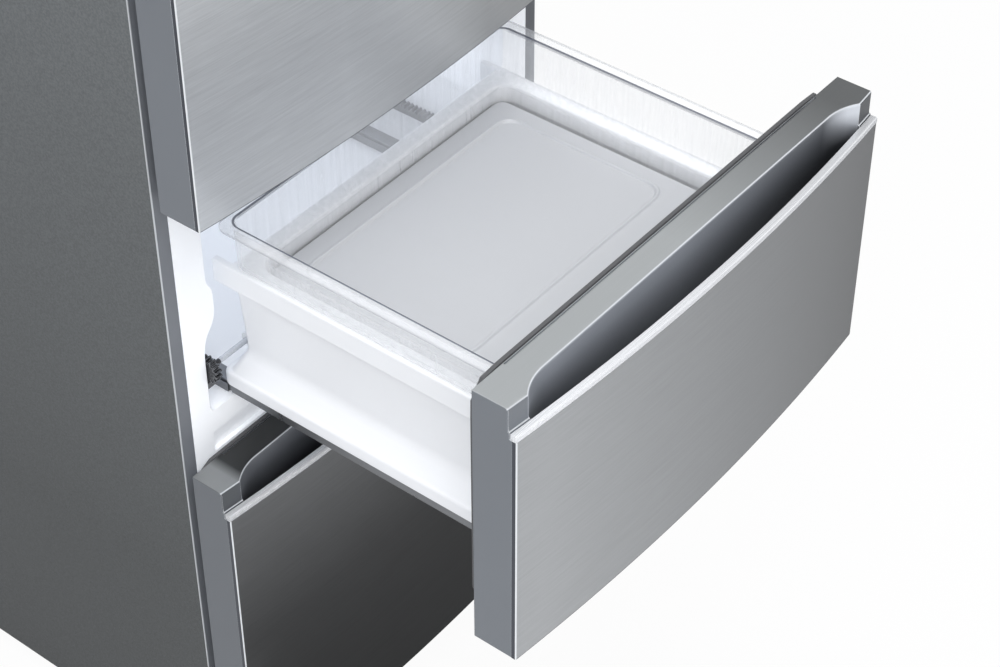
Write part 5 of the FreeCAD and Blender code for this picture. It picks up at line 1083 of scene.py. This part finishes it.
# case, liners, beams and the rest, dressed from the frame: width and steps of their rounded edges
edges = {
    "outer_case": (1.0, 3), "back_panel": (0.3, 1), "base_pan": (0.8, 2), "kick_plate": (1.6, 3),
    "fridge_liner": (0.6, 2), "lower_liner": (0.6, 2), "mullion_rails": (0, 0),
    "fixed_runners": (0.25, 2), "middle_runner_members": (0.8, 2), "lower_runner_members": (0.8, 2),
    "middle_drawer_runners": (0.5, 2), "lower_drawer_runners": (0.5, 2),
    "pinion_shaft": (0.25, 2), "evaporator_cover": (1.0, 2), "air_duct": (1.0, 2), "ceiling_lamp": (0.8, 2),
    "machine_room_cover": (0.4, 2), "power_inlet": (0.8, 2), "control_box": (0.6, 2),
    "top_hinge": (0.5, 2), "middle_hinge": (0.5, 2), "hinge_cover": (0.7, 2), "compressor": (1.2, 3),
    "compressor_mounts": (0.8, 2), "roller_axles": (0.5, 2), "fan_motors": (0.6, 2),
    "evaporator": (0, 0), "condenser": (0, 0), "refrigerant_lines": (0, 0), "cabinet_foam": (0, 0),
}
for node, (edge, segments) in edges.items():
    dress(node, edge, segments)


# the middle compartment's liner and its mouth
mouth = {
    "lowHalf": 252.0, "ribHalf": 232.0, "topHalf": 240.0,
    "blendLow": 684.0, "ribLow": 706.0, "ribHigh": 744.0, "blendHigh": 756.0,
    "wall": 2.5, "lip": 1.6, "flange": 281.0,
}


def middleLiner():
    # rows of one loop: inside from the back to the mouth, round its lip, over the flange and back outside
    _, (near, far), (lowest, highest) = extent("middle_liner")
    wall, lip = mouth["wall"], mouth["lip"]
    floor, ceiling = lowest + wall, highest - wall
    low, rib, top, flange = some(mouth, "lowHalf ribHalf topHalf flange")
    half = [(low, floor), (low, mouth["blendLow"]), (rib, mouth["ribLow"]), (rib, mouth["ribHigh"]),
            (top, mouth["blendHigh"]), (top, ceiling)]
    outline = np.array(half + [(-x, z) for x, z in reversed(half)])
    radii = [9, 26, 14, 9, 9, 9]
    loop = roundedLoop(outline, radii + radii[::-1], 8)
    x, z = loop[:, 0], loop[:, 1]
    centre = np.array([0, (floor + ceiling) / 2])
    wide = np.clip(x * flange / (top - 9), -flange, flange)
    shell = np.clip(wide, -low - wall, low + wall)
    tall = np.where(z < floor + 0.01, floor - wall, np.where(z > ceiling - 0.01, ceiling + wall, z))
    grown = lambda amount: np.stack([x + np.sign(x) * amount * (np.abs(x) > top - 12), z], 1)
    flat = lambda across, up, y: np.stack([across, np.full_like(across, y), up], 1)
    shrunk = lambda across, up, y: flat(across * 0.2, centre[1] + (up - centre[1]) * 0.2, y)
    rows = [shrunk(x, z, far - wall), flat(x, z, far - wall), flat(x, z, near + lip),
            flat(*grown(0.14 * lip).T, near + 0.5 * lip), flat(*grown(0.5 * lip).T, near + 0.14 * lip),
            flat(*grown(lip).T, near), flat(wide, tall, near), flat(wide, tall, near + wall),
            flat(shell, tall, near + wall), flat(shell, tall, far), shrunk(shell, tall, far)]
    return makePiece("middleLiner", [sheetOf(np.stack(rows))], "middle_liner", sharp=50)


middleLiner()
print("case and insides made")


# glass shelves; the trim's section is taken from the plate's underside
shelf = {"count": 4, "thick": 4.0, "trim": 9.0, "topTrim": 6.3, "lap": 1.6, "lip": 1.4, "play": 0.05}


def glassShelves():
    # glass plates with rounded edges, and a pale trim clipped on the front of each
    x, y, height = extent("glass_shelves")
    thick, trim, topTrim, lap, lip, play = some(shelf, "thick trim topTrim lap lip play")
    plates, trims = [], []
    for z in np.linspace(height[0], height[1] - thick, shelf["count"]):
        top = z + thick
        plates.append(softBlock(x, y, (z, top), 0.9, 5))
        section = roundedLoop([(-lap, z - lap), (trim, z - lap), (trim, z - play), (0.1, z - play),
                               (0.1, top + play), (topTrim, top + play), (topTrim, top + lip),
                               (-lap, top + lip)], 0.5, 3)
        run = np.stack([np.linspace(x[0] + 2, x[1] - 2, 12), np.full(12, y[0])], 1)
        trims.append(carried(run, section))
    makePiece("glassShelves", plates, "glass_shelves")
    makePiece("shelfTrims", trims, "glass_shelves", finishes["white_liner"], replaced=False,
              slot="white_liner")


def middleOf(node):
    # middle of a node's box
    return [(low + high) / 2 for low, high in extent(node)]


stemRound = {"middle": 4.75, "depth": 0.25, "pitch": 1.5}     # thread of a foot's stem


def frontFoot(node):
    # threaded stem on a round foot with rounded edges
    (left, right), _, (_, top) = extent(node)
    centre, radius = (*middleOf(node)[:2], 0), (right - left) / 2
    thread = np.linspace(12, top - 1, 90)
    wave = np.sin(thread * 2 * math.pi / stemRound["pitch"])
    stem = np.stack([stemRound["middle"] + stemRound["depth"] * wave, thread], 1)
    profile = [(0.01, 0), (radius - 2, 0), (radius - 0.5, 0.6), (radius, 2), (radius, 6.5),
               (radius - 1, 8.6), (radius - 5, 10), (7, 10), (6, 10.6), (5, 11.5)]
    profile = np.concatenate([profile, stem, [(4.4, top - 0.4), (3.8, top), (0.01, top)]])
    makePiece(camel(node), [turned(profile, centre, "z", 36)], node)


def rearRoller(node):
    # moulded wheel: crowned tread, recessed web on both sides and a hub round the axle
    (left, right), _, (low, high) = extent(node)
    radius, half = (high - low) / 2, (right - left) / 2
    side = [(4.05, -half), (8, -half), (8.6, -half + 0.6), (9, -half + 5), (14.5, -half + 5),
            (15, -half + 0.6), (15.6, -half), (radius - 1.4, -half), (radius - 0.4, -half + 1)]
    tread = [(radius, half * step) for step in (-0.7, -0.2, 0.2, 0.7)]
    profile = side + tread + [(r, -h) for r, h in reversed(side)]
    profile = np.array(profile + [profile[0]])
    points, faces = turned(profile, middleOf(node), "x", 44)
    makePiece(camel(node), [(points, faces[:-2])], node)


fan = {
    "blades": 5, "hub": 13.0, "chord": 25.0, "thick": 1.6, "camber": 2.2,
    "rootAngle": 58.0, "tipAngle": 66.0,
}


def bladedFan(node, axis):
    # domed hub and cambered blades that twist from root to tip, as a grid of span and chord
    centre = np.array(middleOf(node))
    reach = [(high - low) / 2 for low, high in extent(node)]
    along = {"x": 0, "y": 1}[axis]
    radius, half = max(reach[(along + 1) % 3], reach[2]), reach[along]
    hub = fan["hub"]
    span = np.linspace(hub * 0.8, radius - 1.0, 12)[:, None]
    chord = np.linspace(-1, 1, 13)[None, :]
    share = (span - span[0]) / (span[-1] - span[0])
    slope = np.radians(fan["rootAngle"] + (fan["tipAngle"] - fan["rootAngle"]) * share)
    wide = fan["chord"] / 2 * (0.82 + 0.18 * np.sin(share * math.pi))
    bend = fan["camber"] * (1 - chord ** 2)
    skins = []
    for side in (1, -1):
        lift = bend + side * fan["thick"] / 2 * (1 - chord ** 4 * 0.8)
        across = wide * chord * np.sin(slope) + lift * np.cos(slope)
        depth = np.clip(wide * chord * np.cos(slope) - lift * np.sin(slope), -half + 0.2, half - 0.2)
        skins.append(np.stack([depth, across, np.broadcast_to(span, depth.shape)], -1))
    loop = np.concatenate([skins[0], skins[1][:, ::-1]], 1)
    parts = []
    for number in range(fan["blades"]):
        angle = 2 * math.pi * number / fan["blades"]
        turn = np.array(Matrix.Rotation(angle, 3, "X"))
        parts.append(sheetOf(loop @ turn.T))
    dome = [(2.05, -half), (hub - 3, -half), (hub - 1, -half + 1), (hub, -half + 3.5), (hub, half - 1),
            (hub - 0.8, half), (hub - 3, half), (hub - 3.4, half - 4), (2.05, half - 4)]
    points, faces = turned(np.array(dome + [dome[0]]), (0, 0, 0), "x", 40)
    parts.append((points, faces[:-2]))
    if axis == "y":
        swap = np.array([[0, 1, 0], [-1, 0, 0], [0, 0, 1]], float)
        parts = [(points @ swap, faces) for points, faces in parts]
    makePiece(camel(node), [(points + centre, faces) for points, faces in parts], node)


glassShelves()
for side in ("left", "right"):
    frontFoot("front_foot_" + side)
    rearRoller("rear_roller_" + side)
bladedFan("evaporator_fan", "y")
bladedFan("condenser_fan", "x")
print("shelves, feet, rollers and fans made")


camera = {
    "place": (-1.5121, -1.4363, 2.3305), "azimuth": -51.7229, "elevation": 41.5461, "roll": -0.0925,
    "lens": 87.44, "sensor": 36.0,
}


def aimed(item, place, back, roll=0.0):
    # an object turned so that its own z is the back vector and its x lies level, then rolled about z
    back = np.array(back, float) / np.linalg.norm(back)
    right = np.cross((0, 0, 1), back)
    right /= np.linalg.norm(right)
    up = np.cross(back, right)
    matrix = np.eye(4)
    matrix[:3, :3] = np.stack([math.cos(roll) * right + math.sin(roll) * up,
                               math.cos(roll) * up - math.sin(roll) * right, back], 1)
    matrix[:3, 3] = place
    item.matrix_world = Matrix(matrix.tolist())


def makeCamera():
    # the camera looks along minus its back vector; roll turns it about that
    azimuth, elevation, roll = np.radians(some(camera, "azimuth elevation roll"))
    level = math.cos(elevation)
    data = bpy.data.cameras.new("camera")
    data.lens, data.sensor_width = camera["lens"], camera["sensor"]
    data.clip_start, data.clip_end = 0.05, 60
    item = inScene("camera", data)
    back = (math.sin(azimuth) * level, -math.cos(azimuth) * level, math.sin(elevation))
    aimed(item, camera["place"], back, roll)
    bpy.context.scene.camera = item


# floor, sky and lamps; mirror rays find a painted shadow on the floor in a patch of its reach in y and x
studio = {
    "rays": ("Is Camera Ray", "Is Glossy Ray", "Is Transmission Ray"),
    "patch": ((-0.72, -0.42), (-0.45, -0.15)), "mirrorShare": 0.25, "mirrorDim": 0.8,
    "floorHalf": 9.0, "floorShade": (0.80, 0.80, 0.80), "floorGlow": 0.95,
    "sky": (0.80, 0.82, 0.86), "skyStrength": 0.70, "highSky": 0.30,
    "lamps": {
        "key": {"at": (-2.6, -2.2, 3.2), "aim": (0, -0.2, 0.9), "size": 2.6, "power": 60},
        "top": {"at": (-0.5, -0.7, 3.6), "aim": (0, -0.3, 0.7), "size": 2.2, "power": 70},
        "fill": {"at": (2.8, -1.8, 1.8), "aim": (0, -0.2, 0.9), "size": 2.2, "power": 14},
    },
}


def makeFloor():
    # a plain pale floor that camera, mirror and see-through rays find nearly white, its cast shadow kept;
    # mirror rays find a painted shadow in the patch
    half = studio["floorHalf"]
    mesh = bpy.data.meshes.new("studioFloor")
    corners = [(-half, -half, 0), (half, -half, 0), (half, half, 0), (-half, half, 0)]
    mesh.from_pydata(corners, [], [(0, 1, 2, 3)])
    floor = inScene("studioFloor", mesh)
    pale = Finish("studioFloor")
    pale.done(base=studio["floorShade"], roughness=0.9, specular=0.0)
    straight, mirror, through = (pale.add("ShaderNodeLightPath", out=ray) for ray in studio["rays"])
    x, y, _ = pale.here()
    # painted shadow that mirror rays find on the floor near the fronts
    shadow = y.spread(*studio["patch"][0]) * x.spread(*studio["patch"][1])
    least = studio["mirrorShare"]
    share = (straight + through) * studio["floorGlow"] + mirror * (least + shadow * (1 - least))
    white = pale.blend(mirror * shadow * studio["mirrorDim"], (1, 1, 1), (0, 0, 0))
    glow = pale.add("ShaderNodeEmission", {}, {"Color": white, "Strength": 1.0})
    both = pale.add("ShaderNodeMixShader", {}, {0: share, 1: Field(pale, pale.shader.outputs[0]), 2: glow})
    pale.tree.links.new(both.socket, pale.tree.nodes["Material Output"].inputs["Surface"])
    mesh.materials.append(pale.material)


def makeWorld():
    # camera and see-through rays find white; mirror rays find white low down and grey above
    world = bpy.data.worlds.new("studio")
    bpy.context.scene.world = world
    sky = Finish("studio", world)
    sky.tree.nodes.clear()
    straight, mirror, through = (sky.add("ShaderNodeLightPath", out=ray) for ray in studio["rays"])
    height = sky.parts(sky.add("ShaderNodeTexCoord", out="Generated"))[2]
    shade = sky.dimmed(height.spread(0.05, 0.75, 1.0, studio["highSky"]), (1, 1, 1))
    seen = sky.blend(mirror, (1, 1, 1), shade)
    soft = tuple(channel * studio["skyStrength"] for channel in studio["sky"])
    colour = sky.blend((straight + mirror + through).spread(0, 1), soft, seen)
    light = sky.add("ShaderNodeBackground", {}, {"Color": colour, "Strength": 1.0})
    sky.add("ShaderNodeOutputWorld", {}, {"Surface": light}, None)


def makeLamps():
    # square lamps, each turned to its aim
    for name, lamp in studio["lamps"].items():
        data = bpy.data.lights.new(name, "AREA")
        data.shape, data.size, data.energy = "SQUARE", lamp["size"], lamp["power"]
        aimed(inScene(name, data), lamp["at"], np.subtract(lamp["at"], lamp["aim"]))


makeCamera()
makeFloor()
makeWorld()
makeLamps()
bpy.context.scene.view_settings.view_transform = "Standard"
print("camera, floor and light set")
